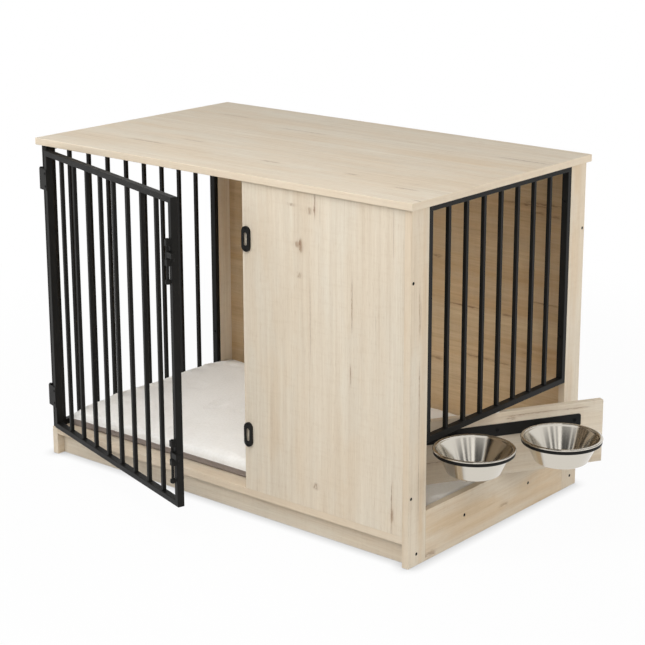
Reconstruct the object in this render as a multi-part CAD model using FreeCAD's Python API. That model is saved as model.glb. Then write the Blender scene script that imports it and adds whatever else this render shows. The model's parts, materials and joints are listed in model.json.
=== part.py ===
"""Furniture-style pet crate: boarded cabinet, barred door, barred ends and a swivelling feeder.

Millimetres, +X along the length of the crate, +Y towards its back, +Z up. The origin lies on
the ground under the middle of the cabinet. The door stands ajar and the feeder is swung out.
"""
import FreeCAD
import Part

import math
import os

# Cabinet of veneered boards
LENGTH = 1000.0
DEPTH = 586.0
HEIGHT = 715.0
BOARD = 15.0
TOP_OVERHANG = 8.0
EDGE_ROUND = 0.6
TOP_ROUND = 1.6
PLINTH_HEIGHT = 47.0
FRONT_PLINTH_SETBACK = 18.5
REAR_PLINTH_SETBACK = 15.5
FRONT_PANEL_WIDTH = 401.0
STILE_WIDTH = 54.0
LOWER_BOARD_HEIGHT = 103.0
FEEDER_OPENING_HEIGHT = 136.0

# Board fasteners
SCREW_HEAD_RADIUS = 3.3
SCREW_HEAD_HEIGHT = 2.0
SCREW_RADIUS = 2.0
SCREW_BITE = 30.0
HOLE_SLACK = 0.1
STILE_SCREW_RISE = 79.0
STILE_SCREW_DROP = 138.0
FLOOR_SCREW_OFFSET = 111.5
DOWEL_RADIUS = 4.0
DOWEL_LENGTH = 30.0
DOWEL_IN_FACE = 10.0
DOWEL_MARGIN = 60.0

# Steel tube and bar of the door and the grilles
TUBE_FACE = 12.0
TUBE_DEPTH = 15.0
TUBE_WALL = 1.5
TUBE_ROUND = 1.2
BAR_SIZE = 8.0
BAR_ROUND = 0.8
POST_FACE = 25.0
POST_SETBACK = 3.0
PLUG_LENGTH = 3.0
RIGHT_BAR_COUNT = 7
LEFT_BAR_COUNT = 8
LEFT_POST_BAR_GAP = 46.4
GRILLE_SCREW_RISE = 102.0
GRILLE_SCREW_DROP = 74.0
GRILLE_SCREW_HEAD_RADIUS = 3.4
GRILLE_SCREW_HEAD_HEIGHT = 1.8
GRILLE_SCREW_RADIUS = 1.8
GRILLE_SCREW_BITE = 12.0

# Door
DOOR_BAR_COUNT = 8
DOOR_POST_GAP = 1.5
DOOR_PANEL_GAP = 2.0
DOOR_FLOOR_GAP = 2.0
DOOR_TOP_GAP = 10.0
DOOR_REST_ANGLE = 16.7

# Door hinges
LOWER_HINGE_RISE = 73.0
UPPER_HINGE_DROP = 64.0
HINGE_LENGTH = 46.0
HINGE_KNUCKLES = 3
HINGE_BARREL_RADIUS = 4.0
HINGE_PIN_RADIUS = 2.0
HINGE_RUNNING_GAP = 0.05
HINGE_KNUCKLE_GAP = 0.3
HINGE_SIDE_GAP = 0.5
HINGE_LEAF_THICKNESS = 2.0
HINGE_LEAF_BITE = 1.0
HINGE_LEAF_REACH = 22.0
HINGE_PIN_HEAD_RADIUS = 3.2
HINGE_PIN_HEAD_HEIGHT = 1.4
HINGE_SCREW_SPREAD = 28.0
HINGE_SCREW_INSET = 6.0
HINGE_SCREW_HEAD_RADIUS = 2.8
HINGE_SCREW_HEAD_HEIGHT = 1.2
HINGE_SCREW_RADIUS = 1.5
HINGE_SCREW_LENGTH = 8.0

# Gravity latches on the free edge of the door, and their strikes on the front panel
LOWER_LATCH_RISE = 116.0
UPPER_LATCH_DROP = 105.0
LATCH_LIFT = 10.0
LATCH_ROD_RADIUS = 3.0
LATCH_ROD_STANDOFF = 6.5
LATCH_RUNNING_GAP = 0.05
LATCH_PLATE_WIDTH = 11.0
LATCH_PLATE_THICKNESS = 2.0
LATCH_LUG_WIDTH = 10.0
LATCH_LUG_DEPTH = 10.5
LATCH_LUG_HEIGHT = 13.0
LATCH_LUG_ROUND = 1.2
LATCH_UPPER_LUG_RISE = 11.0
LATCH_LOWER_LUG_DROP = 15.0
LATCH_REST_GAP = 0.3
LATCH_HUB_GAP = 0.3
LATCH_ROD_TAIL = 60.0
LATCH_ROD_TIP = 2.0
LATCH_TONGUE_THICKNESS = 4.0
LATCH_TONGUE_HEIGHT = 11.0
LATCH_TONGUE_GAP = 1.0
LATCH_BARB_DROP = 5.5
LATCH_BARB_GAP = 0.4
KNOB_RADIUS = 5.5
KNOB_HEIGHT = 9.0
KNOB_ROUND = 2.0
STRIKE_WIDTH = 21.0
STRIKE_HEIGHT = 51.0
STRIKE_THICKNESS = 5.0
STRIKE_FACE = 1.5
STRIKE_EDGE_ROUND = 1.0
STRIKE_PANEL_MARGIN = 0.5
STRIKE_SLOT_WIDTH = 9.0
STRIKE_SLOT_HEIGHT = 27.0
STRIKE_POCKET_DROP = 4.7
STRIKE_SCREW_MARGIN = 4.0
STRIKE_SCREW_HEAD_RADIUS = 2.2
STRIKE_SCREW_HEAD_HEIGHT = 0.8
STRIKE_SCREW_RADIUS = 1.3
STRIKE_SCREW_LENGTH = 14.0

# Feeder board, swivelling on two pins in the right-hand end
FEEDER_REST_ANGLE = 30.0
FEEDER_END_GAP = 2.0
FEEDER_BOTTOM_GAP = 2.5
FEEDER_TOP_GAP = 2.0
FEEDER_FLANGE_GAP = 0.3
PIVOT_PIN_RADIUS = 4.0
PIVOT_PIN_LENGTH = 34.0
PIVOT_PIN_IN_BUSH = 7.0
PIVOT_RUNNING_GAP = 0.05
BUSH_RADIUS = 5.0
BUSH_FLANGE_RADIUS = 7.0
BUSH_SLACK = 0.05
BUSH_DEPTH = 9.0

# Bowl carrier
STRIP_END_MARGIN = 52.0
STRIP_HEIGHT = 25.0
STRIP_THICKNESS = 3.0
STRIP_CORNER_ROUND = 4.0
RING_DROP = 32.0
RING_HEIGHT = 6.0
RING_WIDTH = 4.0
RING_ROUND = 1.2
RING_BOWL_GAP = 0.6
RING_SPACE = 28.8
RING_STRIP_SPACE = 13.9
RING_SWING_GAP = 19.2
RING_ARM_WIDTH = 16.0
CARRIER_BOLT_MARGIN = 13.0
CARRIER_BOLT_RADIUS = 2.5
CARRIER_BOLT_HEAD_RADIUS = 4.6
CARRIER_BOLT_HEAD_HEIGHT = 2.6
CARRIER_NUT_SIDES = 6
CARRIER_NUT_RADIUS = 4.6
CARRIER_NUT_HEIGHT = 4.0

# Bowls of spun steel
BOWL_LIP = 6.0
BOWL_TAPER = 20.0
BOWL_DEPTH = 47.0
BOWL_SHEET = 1.0
BOWL_BASE_ROUND = 9.0
BOWL_BEAD_RADIUS = 2.2
BOWL_SEAT_GAP = 0.3

# Floor mat: quilted fleece on a drawn-in base
MAT_SIDE_GAP = 2.5
MAT_REAR_GAP = 2.0
MAT_FRONT_SETBACK = 39.0
MAT_CORNER_RADIUS = 20.0
MAT_DRAW_IN = 4.0
MAT_THICKNESS = 36.0
MAT_SEAM_HEIGHT = 13.0
MAT_UNDERCUT = 8.0
MAT_ROLL_HEIGHT = 5.2
MAT_ROLL_INSET = 3.5
MAT_CROWN_INSET = 32.0
MAT_CROWN_ANGLES = (20.0, 40.0, 60.0, 90.0)

# Places that follow from the sizes above
HALF_LENGTH = LENGTH / 2
HALF_DEPTH = DEPTH / 2
INNER_X = HALF_LENGTH - BOARD
PANEL_INNER_Y = HALF_DEPTH - BOARD
FLOOR_TOP = PLINTH_HEIGHT + BOARD
TOP_UNDER = HEIGHT - BOARD
PANEL_LEFT = INNER_X - FRONT_PANEL_WIDTH
STILE_INNER_Y = HALF_DEPTH - STILE_WIDTH
GRILLE_BOTTOM = LOWER_BOARD_HEIGHT + FEEDER_OPENING_HEIGHT
POST_FRONT = -HALF_DEPTH + POST_SETBACK
POST_BACK = POST_FRONT + POST_FACE
LEFT_TUBE_X = (-HALF_LENGTH, -HALF_LENGTH + TUBE_DEPTH)
RIGHT_TUBE_X = (HALF_LENGTH - TUBE_DEPTH, HALF_LENGTH)
DOOR_X = (LEFT_TUBE_X[1] + DOOR_POST_GAP, PANEL_LEFT - DOOR_PANEL_GAP)
DOOR_Y = (-HALF_DEPTH, -HALF_DEPTH + TUBE_DEPTH)
DOOR_Z = (FLOOR_TOP + DOOR_FLOOR_GAP, TOP_UNDER - DOOR_TOP_GAP)
STILE_SCREW_HEIGHTS = (FLOOR_TOP + STILE_SCREW_RISE, TOP_UNDER - STILE_SCREW_DROP)
HINGE_HEIGHTS = (DOOR_Z[0] + LOWER_HINGE_RISE, DOOR_Z[1] - UPPER_HINGE_DROP)
LATCH_HEIGHTS = (DOOR_Z[0] + LOWER_LATCH_RISE, DOOR_Z[1] - UPPER_LATCH_DROP)
HINGE_X = LEFT_TUBE_X[0] - HINGE_BARREL_RADIUS
HINGE_Y = DOOR_Y[0] + HINGE_BARREL_RADIUS - HINGE_LEAF_BITE
LATCH_X = DOOR_X[1] - TUBE_FACE / 2
LATCH_Y = DOOR_Y[0] - LATCH_ROD_STANDOFF
LATCH_HUB_RADIUS = LATCH_ROD_STANDOFF - LATCH_PLATE_THICKNESS - LATCH_HUB_GAP
STRIKE_X = PANEL_LEFT + STRIKE_PANEL_MARGIN + STRIKE_WIDTH / 2
STRIKE_FRONT = -HALF_DEPTH - STRIKE_THICKNESS
PIVOT_X = HALF_LENGTH - BOARD / 2
FEEDER_Z = (LOWER_BOARD_HEIGHT + FEEDER_BOTTOM_GAP, GRILLE_BOTTOM - FEEDER_TOP_GAP)
FEEDER_HALF_LENGTH = STILE_INNER_Y - FEEDER_END_GAP
RING_TOP = FEEDER_Z[1] - RING_DROP
FEEDER_FACE_X = PIVOT_X + BOARD / 2
STRIP_FACE_X = FEEDER_FACE_X + STRIP_THICKNESS
STRIP_LENGTH = 2 * (FEEDER_HALF_LENGTH - STRIP_END_MARGIN)

# The rings are as large as the swing between the stiles lets them be: the reach from the pivot
# to the far side of a ring is a root of a quadratic in the ring's radius
RING_REACH = STILE_INNER_Y - RING_SWING_GAP
RING_OFFSETS = (BOARD / 2 + STRIP_THICKNESS + RING_STRIP_SPACE, RING_SPACE / 2)
RING_SUM = RING_REACH + sum(RING_OFFSETS)
RING_PRODUCT = RING_REACH ** 2 - RING_OFFSETS[0] ** 2 - RING_OFFSETS[1] ** 2
RING_RADIUS = math.sqrt(RING_SUM ** 2 + RING_PRODUCT) - RING_SUM
BOWL_WALL_DIAMETER = 2 * (RING_RADIUS - RING_WIDTH - RING_BOWL_GAP)
BOWL_RIM_DIAMETER = BOWL_WALL_DIAMETER + 2 * BOWL_LIP
BOWL_BASE_DIAMETER = BOWL_WALL_DIAMETER - 2 * BOWL_TAPER
BOWL_X = PIVOT_X + RING_OFFSETS[0] + RING_RADIUS
BOWL_SIDES = {"front": -RING_OFFSETS[1] - RING_RADIUS, "rear": RING_OFFSETS[1] + RING_RADIUS}
LEVELS = ("lower", "upper")

ALONG_X = FreeCAD.Vector(1, 0, 0)
ALONG_Y = FreeCAD.Vector(0, 1, 0)
ALONG_Z = FreeCAD.Vector(0, 0, 1)
HINGE_AXIS = FreeCAD.Vector(HINGE_X, HINGE_Y, 0)
PIVOT_AXIS = FreeCAD.Vector(PIVOT_X, 0, 0)

nodes = {}


# Shape helpers

def about(centre, size):
    """Range of the given size about a centre."""
    return (centre - size / 2, centre + size / 2)


def block(x, y, z):
    """Sharp-edged block between three (low, high) ranges."""
    corner = FreeCAD.Vector(x[0], y[0], z[0])
    return Part.makeBox(x[1] - x[0], y[1] - y[0], z[1] - z[0], corner)


def eased(x, y, z, rounding=EDGE_ROUND):
    """Block with all its edges eased."""
    body = block(x, y, z)
    return body.makeFillet(rounding, body.Edges)


def drum(radius, x, y, z):
    """Upright cylinder at (x, y) over the range z."""
    return Part.makeCylinder(radius, z[1] - z[0], FreeCAD.Vector(x, y, z[0]), ALONG_Z)


def screw(seat, drive, head, shank, slack=0.0):
    """Screw seated under its head at a point; drive points into the work.

    head and shank are (radius, length) pairs, and slack widens both to make the hole.
    """
    cap = Part.makeCylinder(head[0] + slack, head[1], seat, -drive)
    stem = Part.makeCylinder(shank[0] + slack, shank[1], seat, drive)
    return cap.fuse(stem).removeSplitter()


def drill(names, holes):
    """Cut the holes out of the named pieces."""
    for name in names:
        nodes[name] = nodes[name].cut(holes)


def group(shapes):
    """Several separate solids that share one node."""
    return Part.makeCompound(shapes)


def stadium(width, height, x, z, y):
    """Upright slab with half-round ends, over the range y."""
    reach = height / 2 - width / 2
    middle = block(about(x, width), y, about(z, 2 * reach))
    ends = [
        Part.makeCylinder(width / 2, y[1] - y[0], FreeCAD.Vector(x, y[0], z + rise), ALONG_Y)
        for rise in (-reach, reach)
    ]
    return middle.fuse(ends).removeSplitter()


# Cabinet boards

def make_boards():
    """The boards of the cabinet, in the order in which they are put together."""
    front = (-HALF_DEPTH, -HALF_DEPTH + BOARD)
    back = (PANEL_INNER_Y, HALF_DEPTH)
    right = (INNER_X, HALF_LENGTH)
    left = (-HALF_LENGTH, -INNER_X)
    inside = (-INNER_X, INNER_X)
    full_depth = (-HALF_DEPTH, HALF_DEPTH)
    wall = (FLOOR_TOP, TOP_UNDER)
    under = (0.0, PLINTH_HEIGHT)
    front_plinth = (front[0] + FRONT_PLINTH_SETBACK, front[1] + FRONT_PLINTH_SETBACK)
    rear_plinth = (back[0] - REAR_PLINTH_SETBACK, back[1] - REAR_PLINTH_SETBACK)
    front_stile = (-HALF_DEPTH, -STILE_INNER_Y)
    rear_stile = (STILE_INNER_Y, HALF_DEPTH)

    nodes["front_plinth"] = eased(inside, front_plinth, under)
    nodes["rear_plinth"] = eased(inside, rear_plinth, under)
    nodes["floor_support_rail"] = eased(about(0.0, BOARD), (front_plinth[1], rear_plinth[0]), under)
    nodes["floor_board"] = eased(inside, full_depth, (PLINTH_HEIGHT, FLOOR_TOP))
    nodes["left_base_board"] = eased(left, full_depth, (0.0, FLOOR_TOP))
    nodes["left_rear_stile"] = eased(left, rear_stile, wall)
    nodes["right_lower_board"] = eased(right, (-STILE_INNER_Y, STILE_INNER_Y), (0.0, LOWER_BOARD_HEIGHT))
    nodes["right_front_stile"] = eased(right, front_stile, (0.0, TOP_UNDER))
    nodes["right_rear_stile"] = eased(right, rear_stile, (0.0, TOP_UNDER))
    nodes["front_panel"] = eased((PANEL_LEFT, INNER_X), front, wall)
    nodes["back_panel"] = eased(inside, back, wall)
    nodes["top_board"] = eased(
        (-HALF_LENGTH - TOP_OVERHANG, HALF_LENGTH + TOP_OVERHANG),
        (-HALF_DEPTH - TOP_OVERHANG, HALF_DEPTH + TOP_OVERHANG),
        (TOP_UNDER, HEIGHT),
        TOP_ROUND,
    )


def make_side_screws():
    """Countersunk screws through both ends into the edges of the boards behind them."""
    edge_y = HALF_DEPTH - BOARD / 2
    plinth_front_y = -edge_y + FRONT_PLINTH_SETBACK
    plinth_rear_y = edge_y - REAR_PLINTH_SETBACK
    floor_z = PLINTH_HEIGHT + BOARD / 2
    plinth_z = PLINTH_HEIGHT / 2
    low = [(y, floor_z) for y in (-FLOOR_SCREW_OFFSET, FLOOR_SCREW_OFFSET)]
    low += [(plinth_front_y, plinth_z), (plinth_rear_y, plinth_z)]
    rear = [(edge_y, z) for z in STILE_SCREW_HEIGHTS]
    front = [(-edge_y, z) for z in STILE_SCREW_HEIGHTS]
    head = (SCREW_HEAD_RADIUS, SCREW_HEAD_HEIGHT)
    shank = (SCREW_RADIUS, BOARD + SCREW_BITE - SCREW_HEAD_HEIGHT)

    def run(places, side, slack):
        seat_x = side * (HALF_LENGTH - SCREW_HEAD_HEIGHT)
        return group([
            screw(FreeCAD.Vector(seat_x, y, z), ALONG_X * -side, head, shank, slack) for y, z in places
        ])

    nodes["right_side_screws"] = run(low + rear + front, 1, 0.0)
    nodes["left_side_screws"] = run(low + rear, -1, 0.0)
    right_holes = run(low + rear + front, 1, HOLE_SLACK)
    left_holes = run(low + rear, -1, HOLE_SLACK)
    inner = ["floor_board", "front_plinth", "rear_plinth", "back_panel"]
    drill(inner + ["right_lower_board", "right_front_stile", "right_rear_stile", "front_panel"], right_holes)
    drill(inner + ["left_base_board", "left_rear_stile"], left_holes)


def make_dowels():
    """Wooden dowels that locate the top and the floor on the edges of the upright boards."""
    edge_y = HALF_DEPTH - BOARD / 2
    edge_x = HALF_LENGTH - BOARD / 2
    stile_y = HALF_DEPTH - STILE_WIDTH / 2
    front = [(x, -edge_y) for x in (PANEL_LEFT + DOWEL_MARGIN, INNER_X - DOWEL_MARGIN)]
    back = [(x, edge_y) for x in (-INNER_X + DOWEL_MARGIN, 0.0, INNER_X - DOWEL_MARGIN)]
    stiles = [(edge_x, -stile_y), (edge_x, stile_y), (-edge_x, stile_y)]
    top_z = (TOP_UNDER + DOWEL_IN_FACE - DOWEL_LENGTH, TOP_UNDER + DOWEL_IN_FACE)
    floor_z = (FLOOR_TOP - DOWEL_IN_FACE, FLOOR_TOP - DOWEL_IN_FACE + DOWEL_LENGTH)

    def run(radius):
        pegs = [drum(radius, x, y, top_z) for x, y in front + back + stiles]
        pegs += [drum(radius, x, y, floor_z) for x, y in front + back]
        return group(pegs)

    nodes["dowels"] = run(DOWEL_RADIUS)
    uprights = ["front_panel", "back_panel", "right_front_stile", "right_rear_stile", "left_rear_stile"]
    drill(["top_board", "floor_board"] + uprights, run(DOWEL_RADIUS + HOLE_SLACK))


# Tube frames

def rounded(shape, radius, chosen):
    """Round the edges of a shape that a test on the edge's box picks out."""
    return shape.makeFillet(radius, [edge for edge in shape.Edges if chosen(edge.BoundBox)])


def upright_slab(along, run, depth, z):
    """Block in a frame that runs along X or along Y, with its depth across the run."""
    if along == "x":
        return block(run, depth, z)
    return block(depth, run, z)


def lies_in_face(along, box):
    """Whether an edge of a frame lies in its front or back face, rather than across its depth."""
    across = box.YLength if along == "x" else box.XLength
    return across < TUBE_DEPTH / 2


def tube_frame(along, run, depth, z, first_face=TUBE_FACE):
    """Welded frame of rectangular tube with its end plugs, as (frame, plugs).

    The uprights run through and are open at both ends, and the rails open into them.
    """
    wall = TUBE_WALL
    bore_depth = (depth[0] + wall, depth[1] - wall)
    first = (run[0], run[0] + first_face)
    last = (run[1] - TUBE_FACE, run[1])
    rails = [(z[0], z[0] + TUBE_FACE), (z[1] - TUBE_FACE, z[1])]
    solid = [upright_slab(along, upright, depth, z) for upright in (first, last)]
    solid += [upright_slab(along, (first[1], last[0]), depth, rail) for rail in rails]
    bores = []
    plugs = []
    for upright in (first, last):
        bore_run = (upright[0] + wall, upright[1] - wall)
        bores.append(upright_slab(along, bore_run, bore_depth, z))
        for end in ((z[0], z[0] + PLUG_LENGTH), (z[1] - PLUG_LENGTH, z[1])):
            plugs.append(upright_slab(along, bore_run, bore_depth, end))
    for rail in rails:
        bore_rail = (rail[0] + wall, rail[1] - wall)
        bores.append(upright_slab(along, (first[1] - wall, last[0] + wall), bore_depth, bore_rail))
    frame = solid[0].fuse(solid[1:]).removeSplitter()
    frame = rounded(frame, TUBE_ROUND, lambda box: lies_in_face(along, box))
    return frame.cut(bores), group(plugs)


def square_bars(along, centres, depth, z):
    """Square bars standing between the rails, in the middle of the tube's depth."""
    middle = (depth[0] + depth[1]) / 2
    inner_z = (z[0] + TUBE_FACE, z[1] - TUBE_FACE)
    across = about(middle, BAR_SIZE)
    bars = [upright_slab(along, about(centre, BAR_SIZE), across, inner_z) for centre in centres]
    return group([rounded(bar, BAR_ROUND, lambda box: box.ZLength > BAR_SIZE) for bar in bars])


def even_centres(low, high, count):
    """Centres of bars that divide a clear width into equal parts."""
    pitch = (high - low) / (count + 1)
    return [low + pitch * (index + 1) for index in range(count)]


def grille_screw(seat, drive, through, slack=0.0):
    """Pan-head screw through a tube into the board behind it."""
    head = (GRILLE_SCREW_HEAD_RADIUS, GRILLE_SCREW_HEAD_HEIGHT)
    shank = (GRILLE_SCREW_RADIUS, through + GRILLE_SCREW_BITE)
    return screw(seat, drive, head, shank, slack)


def make_right_grille():
    """Barred frame in the right-hand end, above the feeder."""
    run = (-STILE_INNER_Y, STILE_INNER_Y)
    z = (GRILLE_BOTTOM, TOP_UNDER)
    inner = (run[0] + TUBE_FACE, run[1] - TUBE_FACE)
    frame, plugs = tube_frame("y", run, RIGHT_TUBE_X, z)
    nodes["right_grille_frame"] = frame
    nodes["right_grille_plugs"] = plugs
    bars = even_centres(inner[0], inner[1], RIGHT_BAR_COUNT)
    nodes["right_grille_bars"] = square_bars("y", bars, RIGHT_TUBE_X, z)

    middle_x = (RIGHT_TUBE_X[0] + RIGHT_TUBE_X[1]) / 2
    heights = (z[0] + GRILLE_SCREW_RISE, z[1] - GRILLE_SCREW_DROP)
    rail_places = [(inner[0] + bars[0]) / 2, (bars[-1] + inner[1]) / 2]

    def fixings(slack):
        stiles = [
            grille_screw(FreeCAD.Vector(middle_x, seat, height), ALONG_Y * drive, TUBE_FACE, slack)
            for seat, drive in ((inner[0], -1), (inner[1], 1))
            for height in heights
        ]
        rail = [
            grille_screw(FreeCAD.Vector(middle_x, y, z[1] - TUBE_FACE), ALONG_Z, TUBE_FACE, slack)
            for y in rail_places
        ]
        return group(stiles + rail)

    nodes["right_grille_screws"] = fixings(0.0)
    boards = ["right_front_stile", "right_rear_stile", "top_board"]
    drill(["right_grille_frame"] + boards, fixings(HOLE_SLACK))


def make_left_grille():
    """Barred left-hand end, with the wide front post that carries the door."""
    run = (POST_FRONT, STILE_INNER_Y)
    z = (FLOOR_TOP, TOP_UNDER)
    rear_inner = run[1] - TUBE_FACE
    frame, plugs = tube_frame("y", run, LEFT_TUBE_X, z, POST_FACE)
    nodes["left_grille_frame"] = frame
    nodes["left_grille_plugs"] = plugs
    pitch = (rear_inner - POST_BACK - LEFT_POST_BAR_GAP) / LEFT_BAR_COUNT
    bars = [rear_inner - pitch * (index + 1) for index in range(LEFT_BAR_COUNT)]
    nodes["left_grille_bars"] = square_bars("y", bars, LEFT_TUBE_X, z)

    middle_x = (LEFT_TUBE_X[0] + LEFT_TUBE_X[1]) / 2
    heights = (z[0] + GRILLE_SCREW_RISE, z[1] - GRILLE_SCREW_DROP)
    rail_places = [(bars[0] + bars[1]) / 2, (bars[-2] + bars[-1]) / 2]

    def fixings(slack):
        rear = [
            grille_screw(FreeCAD.Vector(middle_x, rear_inner, height), ALONG_Y, TUBE_FACE, slack)
            for height in heights
        ]
        rails = [
            grille_screw(FreeCAD.Vector(middle_x, y, seat), ALONG_Z * drive, TUBE_FACE, slack)
            for seat, drive in ((z[0] + TUBE_FACE, -1), (z[1] - TUBE_FACE, 1))
            for y in rail_places
        ]
        return group(rear + rails)

    nodes["left_grille_screws"] = fixings(0.0)
    drill(["left_grille_frame", "left_rear_stile", "left_base_board", "top_board"], fixings(HOLE_SLACK))


# Door, drawn shut and then turned to its resting angle

def hang(shape):
    """Turn a piece that is drawn on the shut door to the angle at which the door stands."""
    return shape.rotated(HINGE_AXIS, ALONG_Z, -DOOR_REST_ANGLE)


def make_door():
    """Welded door leaf of tube and bars, with plugged stiles."""
    frame, plugs = tube_frame("x", DOOR_X, DOOR_Y, DOOR_Z)
    clear = (DOOR_X[0] + TUBE_FACE, DOOR_X[1] - TUBE_FACE)
    bars = even_centres(clear[0], clear[1], DOOR_BAR_COUNT)
    nodes["door_frame"] = frame
    nodes["door_bars"] = hang(square_bars("x", bars, DOOR_Y, DOOR_Z))
    nodes["door_plugs"] = hang(plugs)


def hinge_screws(height, places, drive, slack=0.0):
    """The two screws of one hinge leaf, one above the other."""
    head = (HINGE_SCREW_HEAD_RADIUS, HINGE_SCREW_HEAD_HEIGHT)
    shank = (HINGE_SCREW_RADIUS, HINGE_SCREW_LENGTH)
    return [
        screw(FreeCAD.Vector(places[0], places[1], z), drive, head, shank, slack)
        for z in about(height, HINGE_SCREW_SPREAD)
    ]


def make_hinge(level, height):
    """Hinge of three knuckles: the post's leaf holds the outer two, the door's leaf the middle one."""
    whole = about(height, HINGE_LENGTH)
    knuckle = HINGE_LENGTH / HINGE_KNUCKLES
    middle = about(height, knuckle - HINGE_KNUCKLE_GAP)
    middle_room = about(height, knuckle + HINGE_KNUCKLE_GAP)
    ends = [(whole[0], middle_room[0]), (middle_room[1], whole[1])]
    ends_room = [(whole[0], middle[0]), (middle[1], whole[1])]
    relief = HINGE_BARREL_RADIUS + HINGE_SIDE_GAP
    bore = drum(HINGE_PIN_RADIUS + HINGE_RUNNING_GAP, HINGE_X, HINGE_Y, whole)

    post_leaf = block(
        (LEFT_TUBE_X[0] - HINGE_LEAF_THICKNESS, LEFT_TUBE_X[0]), (HINGE_Y, HINGE_Y + HINGE_LEAF_REACH), whole
    )
    post_leaf = post_leaf.cut(drum(relief, HINGE_X, HINGE_Y, middle_room))
    post_leaf = post_leaf.fuse([drum(HINGE_BARREL_RADIUS, HINGE_X, HINGE_Y, end) for end in ends])
    nodes[f"{level}_hinge_post_leaf"] = post_leaf.cut(bore).removeSplitter()

    door_leaf = block(
        (HINGE_X, DOOR_X[0] + TUBE_FACE), (DOOR_Y[0] - HINGE_LEAF_THICKNESS, DOOR_Y[0]), whole
    )
    door_leaf = door_leaf.cut([drum(relief, HINGE_X, HINGE_Y, end) for end in ends_room])
    door_leaf = door_leaf.fuse(drum(HINGE_BARREL_RADIUS, HINGE_X, HINGE_Y, middle))
    nodes[f"{level}_hinge_door_leaf"] = door_leaf.cut(bore).removeSplitter()

    pin = drum(HINGE_PIN_RADIUS, HINGE_X, HINGE_Y, whole)
    head_ends = [(whole[0] - HINGE_PIN_HEAD_HEIGHT, whole[0]), (whole[1], whole[1] + HINGE_PIN_HEAD_HEIGHT)]
    heads = [drum(HINGE_PIN_HEAD_RADIUS, HINGE_X, HINGE_Y, end) for end in head_ends]
    nodes[f"{level}_hinge_pin"] = pin.fuse(heads).removeSplitter()


def make_hinges():
    """Both door hinges and their screws."""
    for level, height in zip(LEVELS, HINGE_HEIGHTS):
        make_hinge(level, height)
    post_place = (LEFT_TUBE_X[0] - HINGE_LEAF_THICKNESS, HINGE_Y + HINGE_LEAF_REACH - HINGE_SCREW_INSET)
    door_place = (DOOR_X[0] + TUBE_FACE / 2, DOOR_Y[0] - HINGE_LEAF_THICKNESS)

    def run(place, drive, slack):
        pairs = [hinge_screws(height, place, drive, slack) for height in HINGE_HEIGHTS]
        return group([piece for pair in pairs for piece in pair])

    nodes["hinge_post_screws"] = run(post_place, ALONG_X, 0.0)
    drill(["left_grille_frame"] + [f"{level}_hinge_post_leaf" for level in LEVELS],
          run(post_place, ALONG_X, HOLE_SLACK))
    nodes["hinge_door_screws"] = hang(run(door_place, ALONG_Y, 0.0))
    door_leaves = [f"{level}_hinge_door_leaf" for level in LEVELS]
    drill(["door_frame"] + door_leaves, run(door_place, ALONG_Y, HOLE_SLACK))
    for name in ["door_frame"] + door_leaves:
        nodes[name] = hang(nodes[name])


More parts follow.
